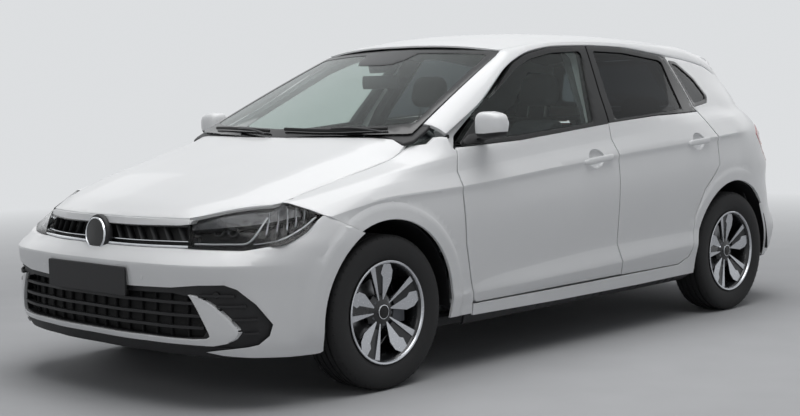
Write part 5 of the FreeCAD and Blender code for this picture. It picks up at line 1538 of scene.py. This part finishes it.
def leaned(origin, lean, bulge, facing):
    """A seat part's face as a surface of (across, along) points. lean is its angle from level, in degrees."""
    a = math.radians(lean)
    along_way = np.array([0.0, -math.cos(a), math.sin(a)])
    out_way = np.array([0.0, math.sin(a), math.cos(a)]) * facing
    start = np.asarray(origin, float)

    def surface(points):
        out = bulge(points[:, 0], points[:, 1])
        across = points[:, :1] * np.array([1.0, 0.0, 0.0])
        return start + across + points[:, 1:2] * along_way + out[:, None] * out_way

    return surface, out_way


def stuff(piece, voxel, cap, pinned):
    """Swells a piece as a stuffed cover: remeshed, blown up as cloth with its far side held, within cap."""
    remesh = piece.modifiers.new("remesh", "REMESH")
    remesh.mode = "VOXEL"
    remesh.voxel_size = voxel
    bake(piece)
    mesh = piece.data
    rest = np.array([v.co for v in mesh.vertices])
    group = piece.vertex_groups.new(name="held")
    held = pinned(rest)
    group.add([int(i) for i in np.nonzero(held)[0]], 1.0, "REPLACE")
    cloth = piece.modifiers.new("cloth", "CLOTH")
    settings = cloth.settings
    settings.quality = 4
    settings.mass = 0.3
    settings.tension_stiffness = 18.0
    settings.compression_stiffness = 18.0
    settings.bending_stiffness = 0.6
    settings.use_pressure = True
    settings.uniform_pressure_force = 4.0
    settings.vertex_group_mass = "held"
    settings.effector_weights.gravity = 0.0
    scene = bpy.context.scene
    for frame_number in range(1, 21):
        scene.frame_set(frame_number)
    swollen = piece.evaluated_get(bpy.context.evaluated_depsgraph_get())
    moved = np.array([v.co for v in swollen.data.vertices])
    piece.modifiers.remove(cloth)
    scene.frame_set(1)
    way = moved - rest
    size = np.linalg.norm(way, axis=1)[:, None]
    way = way / np.maximum(size, 1e-9) * np.minimum(size, cap)
    mesh.vertices.foreach_set("co", (rest + way).ravel())
    mesh.update()


def bake(piece):
    """Applies a piece's modifiers."""
    depsgraph = bpy.context.evaluated_depsgraph_get()
    old = piece.data
    made = bpy.data.meshes.new_from_object(piece.evaluated_get(depsgraph))
    piece.modifiers.clear()
    piece.data = made
    made.polygons.foreach_set("use_smooth", [True] * len(made.polygons))
    if not made.materials:
        made.materials.append(old.materials[0])


def seat_part(name, origin, lean, facing, outline, bulge, thick, voxel, cap, centre=0.0, middles=()):
    surface, out = leaned(origin, lean, bulge, facing)
    piece = slab(name, rounded(outline, 22.0), surface, -out * thick, FABRIC, step=22.0, hem=24.0, rim=24.0,
                 sharp=80.0)
    plane = put([np.asarray(origin, float) - out * (thick - 14.0)])[0]
    stuff(piece, voxel, cap, lambda p: (p - plane) @ out < 0.0)
    piece.data.materials.append(FABRIC_MID)
    for face in piece.data.polygons:
        across = face.center.x * 1000.0
        if any(abs(across - middle) < centre for middle in middles):
            face.material_index = 1
    return piece


def twin(piece, name):
    """The same piece again for the other front seat."""
    mesh = piece.data.copy()
    mesh.transform(Matrix.Translation((-2.0 * SEAT_X / 1000.0, 0.0, 0.0)))
    other = add(name, mesh)
    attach(other, "body")
    return other


SEAT_X = 365.0


def seat_bulge(half, wing, crown, length):
    """Side bolsters and a soft crown across a seat part."""

    def height(u, v):
        across = (u - SEAT_X) / half
        side = wing * blend(0.52, 0.86, np.abs(across))
        return side + crown * (1.0 - across**2) * np.sin(np.pi * np.clip(v / length, 0, 1)) ** 0.5

    return height


def bench_bulge(crown, length):
    """Two shallow seats side by side."""
    return lambda u, v: (crown * np.sin(np.pi * np.clip(v / length, 0, 1))
                         - 8.0 * np.exp(-((np.abs(u) - 365.0) / 150.0) ** 2))


def front_seats():
    cushion = seat_part("seat_cushion_left", (0.0, 1425.0, 464.0), 5.0, 1.0,
                        [(132, 0, 50), (598, 0, 50), (592, 455, 80), (138, 455, 80)],
                        seat_bulge(235.0, 22.0, 8.0, 460.0), 100.0, 0.008, 0.014, 128.0, (SEAT_X,))
    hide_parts("front_seats")
    twin(cushion, "seat_cushion_right")
    back = seat_part("seat_back_left", (0.0, 1362.0, 478.0), 104.5, -1.0,
                     [(138, 0, 60), (592, 0, 60), (574, 420, 90), (505, 572, 90), (225, 572, 90),
                      (156, 420, 90)],
                     seat_bulge(228.0, 26.0, 8.0, 572.0), 78.0, 0.008, 0.014, 122.0, (SEAT_X,))
    twin(back, "seat_back_right")
    head = seat_part("seat_headrest_left", (0.0, 1520.0, 1088.0), 99.0, -1.0,
                     [(246, 0, 50), (484, 0, 50), (466, 158, 60), (264, 158, 60)],
                     seat_bulge(125.0, 0.0, 12.0, 158.0), 58.0, 0.007, 0.008)
    twin(head, "seat_headrest_right")
    for side, flip in SIDES:
        for k, x in enumerate((SEAT_X - 52.0, SEAT_X + 52.0)):
            sweep("headrest_post_%d_%s" % (k + 1, side), [(x, 1540, 1030), (x, 1546, 1060), (x, 1552, 1104)],
                  oval(12, 12, 10), GLOSS, slot="chassis_steel", flip=flip, up=ACROSS)
        seat_base(side, flip)


def seat_base(side, flip):
    for k, x in enumerate((SEAT_X - 190.0, SEAT_X + 190.0)):
        sweep("seat_rail_%d_%s" % (k + 1, side), [(x, 990, 240), (x, 1240, 240), (x, 1450, 240)],
              [(-22, -18), (22, -18), (22, 18), (-22, 18)], STEEL, flip=flip)
    shell = rounded([(160, 975, 40), (570, 975, 40), (570, 1440, 40), (160, 1440, 40)])
    slab("seat_pan_" + side, shell, over(lambda x, y: 392.0 - 0.08 * (y - 985)), (0.0, 0.0, -104.0), CABIN,
         flip=flip, step=60.0, hem=6.0, rim=6.0)


def bench():
    cushion = seat_part("bench_cushion", (0.0, 2262.0, 512.0), 6.0, 1.0,
                        [(-612, 0, 60), (612, 0, 60), (620, 388, 70), (-620, 388, 70)],
                        bench_bulge(12.0, 390.0), 90.0, 0.010, 0.012, 130.0, (-365.0, 365.0))
    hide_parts("rear_bench")
    seat_part("bench_back", (0.0, 2222.0, 524.0), 107.0, -1.0,
              [(-548, 0, 50), (548, 0, 50), (606, 160, 90), (596, 480, 90), (-596, 480, 90), (-606, 160, 90)],
              bench_bulge(12.0, 480.0), 74.0, 0.010, 0.012, 130.0, (-365.0, 365.0))
    for k, x in enumerate((-SEAT_X, SEAT_X)):
        seat_part("bench_headrest_%d" % (k + 1), (0.0, 2384.0, 996.0), 98.0, -1.0,
                  [(x - 118, 0, 40), (x + 118, 0, 40), (x + 106, 118, 50), (x - 106, 118, 50)],
                  lambda u, v: 10.0 * np.sin(np.pi * np.clip(v / 118.0, 0, 1)), 54.0, 0.007, 0.007)


def prism(name, low, high, rows, finish=CABIN):
    """A soft-edged block whose section (y, z, r) runs across the car from low to high."""
    slab(name, rounded(rows, 40.0), plane(0, high), (low - high, 0.0, 0.0), finish, slot="cabin_plastic",
         step=90.0, hem=5.0, rim=5.0)


def dash():
    """The dashboard: a rolled top, a display, a cluster, vents and a centre console."""
    prism("dash_body", -700.0, 700.0, [(345, 690, 10), (345, 900, 20), (385, 940, 30), (440, 955, 40),
                                       (560, 950, 60), (622, 905, 30), (652, 850, 14), (648, 800, 14),
                                       (630, 700, 30), (596, 640, 30), (480, 572, 30), (400, 600, 30)])
    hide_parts("dashboard")
    prism("dash_trim", -690.0, 690.0, [(620, 790, 6), (655, 800, 8), (659, 846, 10), (640, 880, 10),
                                       (620, 872, 6)], CABIN_LIGHT)
    prism("dash_screen", -125.0, 125.0, [(632, 812, 6), (664, 814, 6), (648, 952, 10), (626, 948, 6)], GLOSS)
    prism("cluster_hood", 225.0, 505.0, [(520, 900, 10), (640, 900, 8), (660, 950, 12), (600, 963, 20),
                                         (530, 948, 10)])
    prism("cluster_glass", 244.0, 486.0, [(630, 862, 6), (656, 866, 6), (648, 946, 10), (626, 940, 6)], GLOSS)
    prism("glove_box", -640.0, -140.0, [(596, 660, 12), (640, 700, 14), (652, 776, 14), (620, 780, 10),
                                        (590, 700, 10)])
    prism("console", -105.0, 105.0, [(480, 335, 6), (480, 620, 20), (640, 660, 30), (705, 560, 50),
                                     (800, 514, 50), (1130, 512, 20), (1150, 470, 20), (1150, 335, 6)])
    turn = towards(0.0, 1.0, 0.1)
    for k, x in enumerate((-620.0, -200.0, 200.0, 620.0)):
        lathe("air_vent_%d" % (k + 1), [(26, -4), (46, -4), (50, 2), (46, 6), (38, 2), (26, 0)],
              (x, 656.0, 830.0), turn, CHROME, slot="cabin_plastic", count=32)
    knob = towards(0.0, 0.12, 1.0)
    lathe("gear_knob", [(0.01, 0), (10, 0), (9, 60), (22, 74), (26, 96), (18, 112), (0.01, 116)],
          (0.0, 830.0, 516.0), knob, GLOSS, slot="cabin_plastic", count=28)
    lathe("gear_boot", [(0.01, -2), (52, -2), (44, 12), (20, 34), (12, 40), (0.01, 40)], (0.0, 830.0, 514.0),
          knob, SEAL, slot="cabin_plastic", count=28)
    sweep("hand_brake", [(60, 1110, 520), (60, 1040, 536), (60, 960, 556)], oval(26, 30, 12), SEAL,
          slot="cabin_plastic")


def steering():
    centre = np.array([SEAT_X, 726.0, 836.0])
    way = Vector((0.0, 0.94, 0.339)).normalized()
    turn = towards(*way)
    ring = [(178 + 14 * math.cos(2 * math.pi * k / 14), 14 * math.sin(2 * math.pi * k / 14))
            for k in range(14)]
    rim = lathe("steering_rim", ring, centre, turn, CABIN, "steering_wheel", count=64)
    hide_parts("steering_wheel")
    lathe("steering_boss", [(0.01, -16), (58, -16), (64, -4), (60, 12), (40, 20), (0.01, 22)], centre, turn,
          CABIN, "steering_wheel", count=40)
    lathe("steering_boss_ring", [(22, 18), (24, 23), (27, 22), (27, 17)], centre, turn, CHROME,
          "steering_wheel", slot="cabin_plastic", count=32)
    for k, (angle, width) in enumerate(((0.0, 46.0), (180.0, 46.0), (270.0, 34.0))):
        a = math.radians(angle)
        arm = [centre + np.array(turn @ Vector((r * math.cos(a), r * math.sin(a), lift)))
               for r, lift in ((50.0, 6.0), (110.0, 2.0), (168.0, 0.0))]
        sweep("steering_spoke_%d" % (k + 1), arm, oval(12.0, width, 12), CABIN_LIGHT, "steering_wheel",
              up=tuple(way), scale=(1.0, 0.85, 0.7))
    column = [centre - np.array(way) * reach for reach in (22.0, 90.0, 150.0)]
    sweep("steering_column", column, oval(76, 76, 20), CABIN, up=ACROSS)


def cabin_lining():
    for side, flip in SIDES:
        sill = rounded([(470, 250, 20), (2080, 258, 20), (2080, 330, 20), (470, 322, 20)], 80.0)
        slab("sill_trim_" + side, sill, plane(0, 752.0), (-46.0, 0.0, 0.0), CABIN, flip=flip, step=90.0,
             hem=4.0, rim=4.0)
        line = []
        for z in np.linspace(320, 1330, 12):
            y = 1500.0 + max(z - 980, 0) * 0.275
            line.append((skin_x(y, z) - 108.0, y + 8, z))
        sweep("pillar_trim_1_" + side, line, oval(26.0, 124.0, 14), CABIN_LIGHT, flip=flip, up=BACK)
        belt = [(skin_x(1560.0, z) - 124.0, 1512.0 + max(z - 980, 0) * 0.275, z)
                for z in np.linspace(430, 1240, 12)]
        sweep("seat_belt_" + side, belt, oval(3.0, 46.0, 8), SEAL, slot="cabin_plastic", flip=flip, up=BACK)
    shelf = rounded([(-600, 2330, 40), (600, 2330, 40), (560, 2900, 60), (-560, 2900, 60)], 90.0)
    slab("parcel_shelf", shelf, plane(2, 1004.0), (0.0, 0.0, -14.0), CARPET, step=90.0, hem=3.0, rim=4.0)
    corner = rounded([(560, 268, 6), (690, 262, 10), (716, 300, 10), (712, 380, 20), (694, 452, 10),
                      (640, 400, 20)])
    for side, flip in SIDES:
        slab("cowl_corner_" + side, corner, shifted(windscreen, dz=-9.0), (0.0, 0.0, -14.0), BLACK, flip=flip,
             hem=3.0, rim=3.0)
        # Black filler plates below each cowl corner close the see-through; their black is painted shade.
        foot = rounded([(600, 285, 6), (700, 285, 10), (726, 330, 10), (746, 400, 20), (748, 490, 10),
                        (690, 490, 10), (640, 400, 20)])
        slab("cowl_floor_" + side, foot, over(lambda x, y: 916.0 + (y - 290.0) * 0.36), (0.0, 0.0, -12.0),
             BLACK, flip=flip, hem=3.0, rim=3.0)


# Rear, engine and load space


def rear_details():
    for side, flip in SIDES:
        corner = [*tail_at([560, 620, 690], [650, 674, 704]), *tail_beside([3034], [700]),
                  *tail_beside([3031], [746]), *tail_at([700, 640, 583], [747, 747, 749]),
                  *tail_at([578], [690])]
        slab("tail_corner_" + side, dense(np.array(corner), 16.0), sunk_tail(1.5), (-8.0, -20.0, 0.0), PAINT,
             flip=flip, step=18.0)
        strip = [*tail_at([430, 560, 650], [372, 376, 384]), *tail_at([650, 560, 430], [408, 400, 396])]
        slab("rear_reflector_" + side, dense(np.array(strip), 16.0), sunk_tail(-1.5), (0.0, -6.0, 0.0),
             RED_DARK, flip=flip, step=18.0)
    lamp = both([(0, 1293), (150, 1291), (158, 1298), (150, 1305), (0, 1307)])
    slab("high_brake_lamp", path(lamp, 18.0), shifted(tail_window, dy=2.0), (0.0, -6.0, 0.0), RED_DARK,
         "tailgate", step=20.0)
    turn = towards(0.0, 1.0, 0.06)
    badge_y = float(tail(tail_at([0], [902]))[0, 1])
    lathe("rear_badge_place", [(0.01, -8), (46, -8), (46, 3), (40, 5), (0.01, 6)], (0.0, badge_y, 902.0),
          turn, GLOSS, "tailgate", count=48)
    lathe("rear_badge_ring", [(42, 0), (49, 0), (50, 5), (46, 8), (42, 6)], (0.0, badge_y, 902.0), turn,
          CHROME, "tailgate", count=48)
    blade = []
    arm = []
    for t in np.linspace(0.0, 1.0, 12):
        x = 10.0 - 330.0 * t
        z = 1096.0 + 14.0 * math.sin(math.pi * t)
        y = float(tail_window(np.array([[x, z]]))[0, 1])
        blade.append((x - 30.0, y + 9.0, z + 10.0))
        arm.append((30.0 - 220.0 * t, y + 17.0 - 4.0 * t, 1066.0 + 40.0 * t))
    sweep("rear_wiper_blade", blade, oval(9.0, 13.0, 8), SEAL, "tailgate")
    sweep("rear_wiper_arm", arm, oval(9.0, 22.0, 10), BLACK, "tailgate", scale=np.linspace(1.3, 0.7, 12))
    hub_y = float(tail_window(np.array([[30.0, 1066.0]]))[0, 1])
    lathe("rear_wiper_hub", [(0.01, -4), (22, -4), (21, 16), (14, 22), (0.01, 23)], (30.0, hub_y, 1066.0),
          turn, BLACK, "tailgate", count=32)
    plate = rounded([(-260, 470, 8), (260, 470, 8), (260, 580, 8), (-260, 580, 8)])
    slab("rear_plate", plate, plane(1, 3238.0), (0.0, -3.0, 0.0), PLATE, step=60.0)
    flap = ellipse(2650, 905, 76, 66)
    slab("fuel_flap", flap, shifted(whole, 0.4), in_by(6), PAINT, flip=True, step=20.0, columns=whole_columns,
         hem=1.6)
    # The gap round the flap as a thin dark ring on the skin: painted shade of the gap.
    slab("fuel_flap_gap", ellipse(2650, 905, 79, 69), shifted(whole, 0.1), in_by(5), SEAL,
         holes=[ellipse(2650, 905, 75, 65)], flip=True, step=20.0, columns=whole_columns, hem=0.2, rim=0.6)


def cover_height(x):
    return 768.0 - 0.0002 * (x - 15.0) ** 2


def engine_details():
    """What stands on the engine block: a ribbed cover, its filler cap, an air box and its duct."""
    cover = rounded([(-250, -300, 40), (280, -300, 40), (280, -10, 40), (-250, -10, 40)])
    slab("engine_cover", cover, over(lambda x, y: cover_height(x)), (0.0, 0.0, -26.0), BLACK, step=30.0,
         hem=10.0, rim=10.0)
    for k, y in enumerate((-240.0, -190.0, -140.0)):
        line = [(x, y, cover_height(x)) for x in np.linspace(-190, 160, 10)]
        sweep("engine_cover_rib_%d" % (k + 1), line, oval(16.0, 7.0, 10), SEAL)
    upright = Matrix.Identity(3)
    lathe("oil_filler_cap", [(0.01, -6), (30, -6), (32, 4), (28, 12), (12, 13), (10, 20), (0.01, 20)],
          (215.0, -90.0, 766.0), upright, SEAL, count=28)
    box = rounded([(-420, -560, 30), (-150, -560, 30), (-150, -370, 30), (-420, -370, 30)])
    slab("air_box", box, plane(2, 704.0), (0.0, 0.0, -120.0), BLACK, step=40.0, hem=8.0, rim=8.0)
    duct = [(-200, -400, 670), (-170, -355, 700), (-120, -338, 722), (-60, -336, 728), (0, -336, 724)]
    sweep("air_duct", duct, oval(62, 50, 20), SEAL)
    tank = rounded([(330, -300, 24), (446, -300, 24), (446, -180, 24), (330, -180, 24)])
    slab("coolant_bottle", tank, plane(2, 716.0), (0.0, 0.0, -130.0), LAMP_WHITE, slot="cabin_plastic",
         step=40.0, hem=10.0, rim=10.0)
    lathe("coolant_cap", [(0.01, -4), (26, -4), (27, 14), (22, 18), (0.01, 18)], (388.0, -240.0, 718.0),
          upright, SEAL, count=28)
    hose = [(388, -300, 640), (388, -360, 634), (360, -430, 630), (300, -520, 626), (240, -590, 610)]
    sweep("coolant_hose", hose, oval(34, 34, 16), SEAL)


def load_space():
    """Trims on the sides of the load space, with the cloth lining on its floor."""
    for side, flip in SIDES:
        # A black strip under each sill: partly the car's dark underbody, partly painted shade below the side.
        sill = rounded([(464, 194, 10), (2146, 200, 10), (2176, 238, 10), (470, 238, 10)], 60.0)
        slab("sill_underside_" + side, sill, shifted(whole, -13.0), in_by(12), BLACK, flip=flip, step=50.0,
             hem=3.0, rim=4.0)
        low = [(2440, 700, 60), (2700, 690, 60), (2860, 500, 30), (3000, 500, 60), (3010, 760, 60),
               (2850, 990, 60), (2380, 990, 40), (2340, 900, 60)]
        slab("load_trim_" + side, rounded(low), shifted(whole, -78.0), in_by(12), CARPET,
             columns=lambda u: [600, 800], flip=flip, step=50.0, hem=4.0, rim=5.0)
        pillar = [(2300, 1020, 30), (2860, 1020, 40), (2760, 1250, 40), (2290, 1280, 30)]
        window = [(2330, 1060, 10), (2540, 1080, 20), (2570, 1116, 16), (2500, 1220, 50), (2362, 1268, 50),
                  (2312, 1262, 10)]
        slab("pillar_trim_rear_" + side, rounded(pillar), shifted(whole, -60.0), in_by(8), CABIN_LIGHT,
             holes=[rounded(window)], columns=lambda u: [1100, 1200], flip=flip, step=40.0, hem=3.0, rim=4.0)
    floor = rounded([(-560, 2350, 30), (560, 2350, 30), (560, 3060, 80), (-560, 3060, 80)])
    slab("load_floor_lining", floor, plane(2, 441.0), (0.0, 0.0, -9.0), CARPET, step=80.0, hem=3.0, rim=4.0)
    for side, flip in SIDES:
        mat = rounded([(130, 480, 60), (640, 480, 60), (640, 1000, 60), (130, 1000, 60)])
        slab("floor_mat_front_" + side, mat, plane(2, 224.0), (0.0, 0.0, -8.0), CARPET, flip=flip, step=60.0,
             hem=3.0, rim=4.0)
        mat = rounded([(130, 1520, 60), (640, 1520, 60), (640, 1840, 60), (130, 1840, 60)])
        slab("floor_mat_rear_" + side, mat, plane(2, 224.0), (0.0, 0.0, -8.0), CARPET, flip=flip, step=60.0,
             hem=3.0, rim=4.0)


def lid_linings():
    """The inner faces of the bonnet and the tailgate, and the tray below the nose."""
    half = [(0, -660), (200, -640), (360, -600), (470, -500), (560, -380), (600, -240), (610, -60),
            (600, 100), (440, 120), (260, 90), (0, 70)]
    bonnet_lining = both(half)
    slab("bonnet_lining", path(bonnet_lining, 40.0), shifted(bonnet_surface, dz=-15.0), (0.0, 0.0, -6.0),
         DEEP, "bonnet", step=50.0)
    inside = both([*tail_at([0, 300, 500, 530, 530], [700, 700, 712, 760, 1000]),
                   *tail_at([300, 0], [1020, 1020])])
    slab("tailgate_lining", dense(inside, 36.0), shifted(tail, dy=-16.5), (0.0, -8.0, 0.0), CABIN, "tailgate",
         step=50.0)
    tray = both([(0, -760), (300, -735), (520, -650), (560, -560), (560, -400), (0, -400)])
    slab("nose_tray", path(tray, 40.0), plane(2, 216.0), (0.0, 0.0, 5.0), BLACK, step=70.0)


engine_details()
load_space()
lid_linings()
rear_details()
front_seats()
bench()
dash()
steering()
cabin_lining()


# Camera, light and floor


CAMERA_AT = (4782.97, -3980.25, 1182.78)
CAMERA_AZIMUTH = 44.13
CAMERA_PITCH = 4.74
CAMERA_ROLL = -1.18
CAMERA_LENS = 64.79


def camera():
    a = math.radians(CAMERA_AZIMUTH)
    p = math.radians(CAMERA_PITCH)
    r = math.radians(CAMERA_ROLL)
    ahead = Vector((-math.sin(a) * math.cos(p), math.cos(a) * math.cos(p), -math.sin(p)))
    right = Vector((math.cos(a), math.sin(a), 0.0))
    up = right.cross(ahead)
    across = right * math.cos(r) + up * math.sin(r)
    rise = up * math.cos(r) - right * math.sin(r)
    data = bpy.data.cameras.new("camera")
    data.lens = CAMERA_LENS
    data.sensor_width = 36.0
    eye = add("camera", data)
    turn = Matrix((across, rise, -ahead)).transposed().to_4x4()
    eye.matrix_world = Matrix.Translation(Vector(put([CAMERA_AT])[0])) @ turn
    bpy.context.scene.camera = eye


def area_light(name, at, aim, size, power):
    data = bpy.data.lights.new(name, "AREA")
    data.shape = "RECTANGLE"
    data.size = size[0]
    data.size_y = size[1]
    data.energy = power
    lamp = add(name, data)
    lamp.location = at
    lamp.rotation_euler = (Vector(aim) - Vector(at)).to_track_quat("-Z", "Y").to_euler()


def studio():
    area_light("light_top", (0.6, -0.4, 6.5), (0, 0, 0.6), (6.0, 9.0), 430)
    area_light("light_front", (1.5, -9.0, 4.2), (0, -1.0, 0.6), (5.0, 2.5), 38)
    area_light("light_side", (9.0, 1.5, 3.4), (0, 0.2, 0.7), (8.0, 1.6), 8)
    area_light("light_far_side", (-8.5, 0.0, 4.0), (0, 0, 0.6), (7.0, 2.0), 20)
    area_light("light_rear", (0.0, 9.0, 4.0), (0, 1.0, 0.6), (6.0, 2.5), 26)
    ground = bpy.data.meshes.new("floor")
    ground.from_pydata([(-60, -60, 0), (60, -60, 0), (60, 60, 0), (-60, 60, 0)], [], [(0, 1, 2, 3)])
    floor = add("floor", ground)
    ground.materials.append(floor_finish())
    world = bpy.data.worlds.new("surroundings")
    bpy.context.scene.world = world
    world.use_nodes = True
    nodes = world.node_tree.nodes
    links = world.node_tree.links
    nodes.clear()
    out = nodes.new("ShaderNodeOutputWorld")
    mix = nodes.new("ShaderNodeMixShader")
    soft = nodes.new("ShaderNodeBackground")
    set_inputs(soft, {"Color": (0.92, 0.95, 1.0, 1.0), "Strength": 0.15})
    pale = nodes.new("ShaderNodeBackground")
    set_inputs(pale, {"Color": BACKDROP, "Strength": 1.0})
    ray = nodes.new("ShaderNodeLightPath")
    first = nodes.new("ShaderNodeMath")
    first.operation = "MAXIMUM"
    second = nodes.new("ShaderNodeMath")
    second.operation = "MAXIMUM"
    links.new(ray.outputs["Is Camera Ray"], first.inputs[0])
    links.new(ray.outputs["Is Glossy Ray"], first.inputs[1])
    links.new(first.outputs["Value"], second.inputs[0])
    links.new(ray.outputs["Is Transmission Ray"], second.inputs[1])
    links.new(second.outputs["Value"], mix.inputs["Fac"])
    links.new(soft.outputs["Background"], mix.inputs[1])
    links.new(pale.outputs["Background"], mix.inputs[2])
    links.new(mix.outputs["Shader"], out.inputs["Surface"])


BACKDROP = (0.72, 0.735, 0.75, 1.0)


def floor_finish():
    """A pale floor that turns into the backdrop's tone away from the car."""
    made = material("floor", None, colour_of(176, 177, 179), 0.8, grain=3.0, vary=0.03)
    nodes = made.node_tree.nodes
    links = made.node_tree.links
    shader = nodes["Principled BSDF"]
    out = nodes["Material Output"]
    place = nodes.new("ShaderNodeNewGeometry")
    reach = nodes.new("ShaderNodeVectorMath")
    reach.operation = "LENGTH"
    links.new(place.outputs["Position"], reach.inputs[0])
    share = nodes.new("ShaderNodeMapRange")
    set_inputs(share, {"From Min": 3.0, "From Max": 9.0})
    links.new(reach.outputs["Value"], share.inputs["Value"])
    glow = nodes.new("ShaderNodeEmission")
    set_inputs(glow, {"Color": BACKDROP})
    mix = nodes.new("ShaderNodeMixShader")
    links.new(share.outputs["Result"], mix.inputs["Fac"])
    links.new(shader.outputs["BSDF"], mix.inputs[1])
    links.new(glow.outputs["Emission"], mix.inputs[2])
    links.new(mix.outputs["Shader"], out.inputs["Surface"])
    return made


CAD_FINISH = {
    "floor_pan": UNDER, "engine_bay": UNDER, "wheel_arch_liners": BLACK, "front_subframe": STEEL,
    "rear_axle": STEEL, "knuckle_left": STEEL, "knuckle_right": STEEL, "engine_block": STEEL,
    "exhaust_and_tank": STEEL,
}


def finish_cad_nodes():
    """The CAD nodes that stay in sight take their materials."""
    for name, material_of_node in CAD_FINISH.items():
        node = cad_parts.get(name)
        if node is not None:
            node.data.materials.clear()
            node.data.materials.append(material_of_node)


camera()
studio()
finish_cad_nodes()
bpy.context.scene.view_settings.view_transform = "Standard"
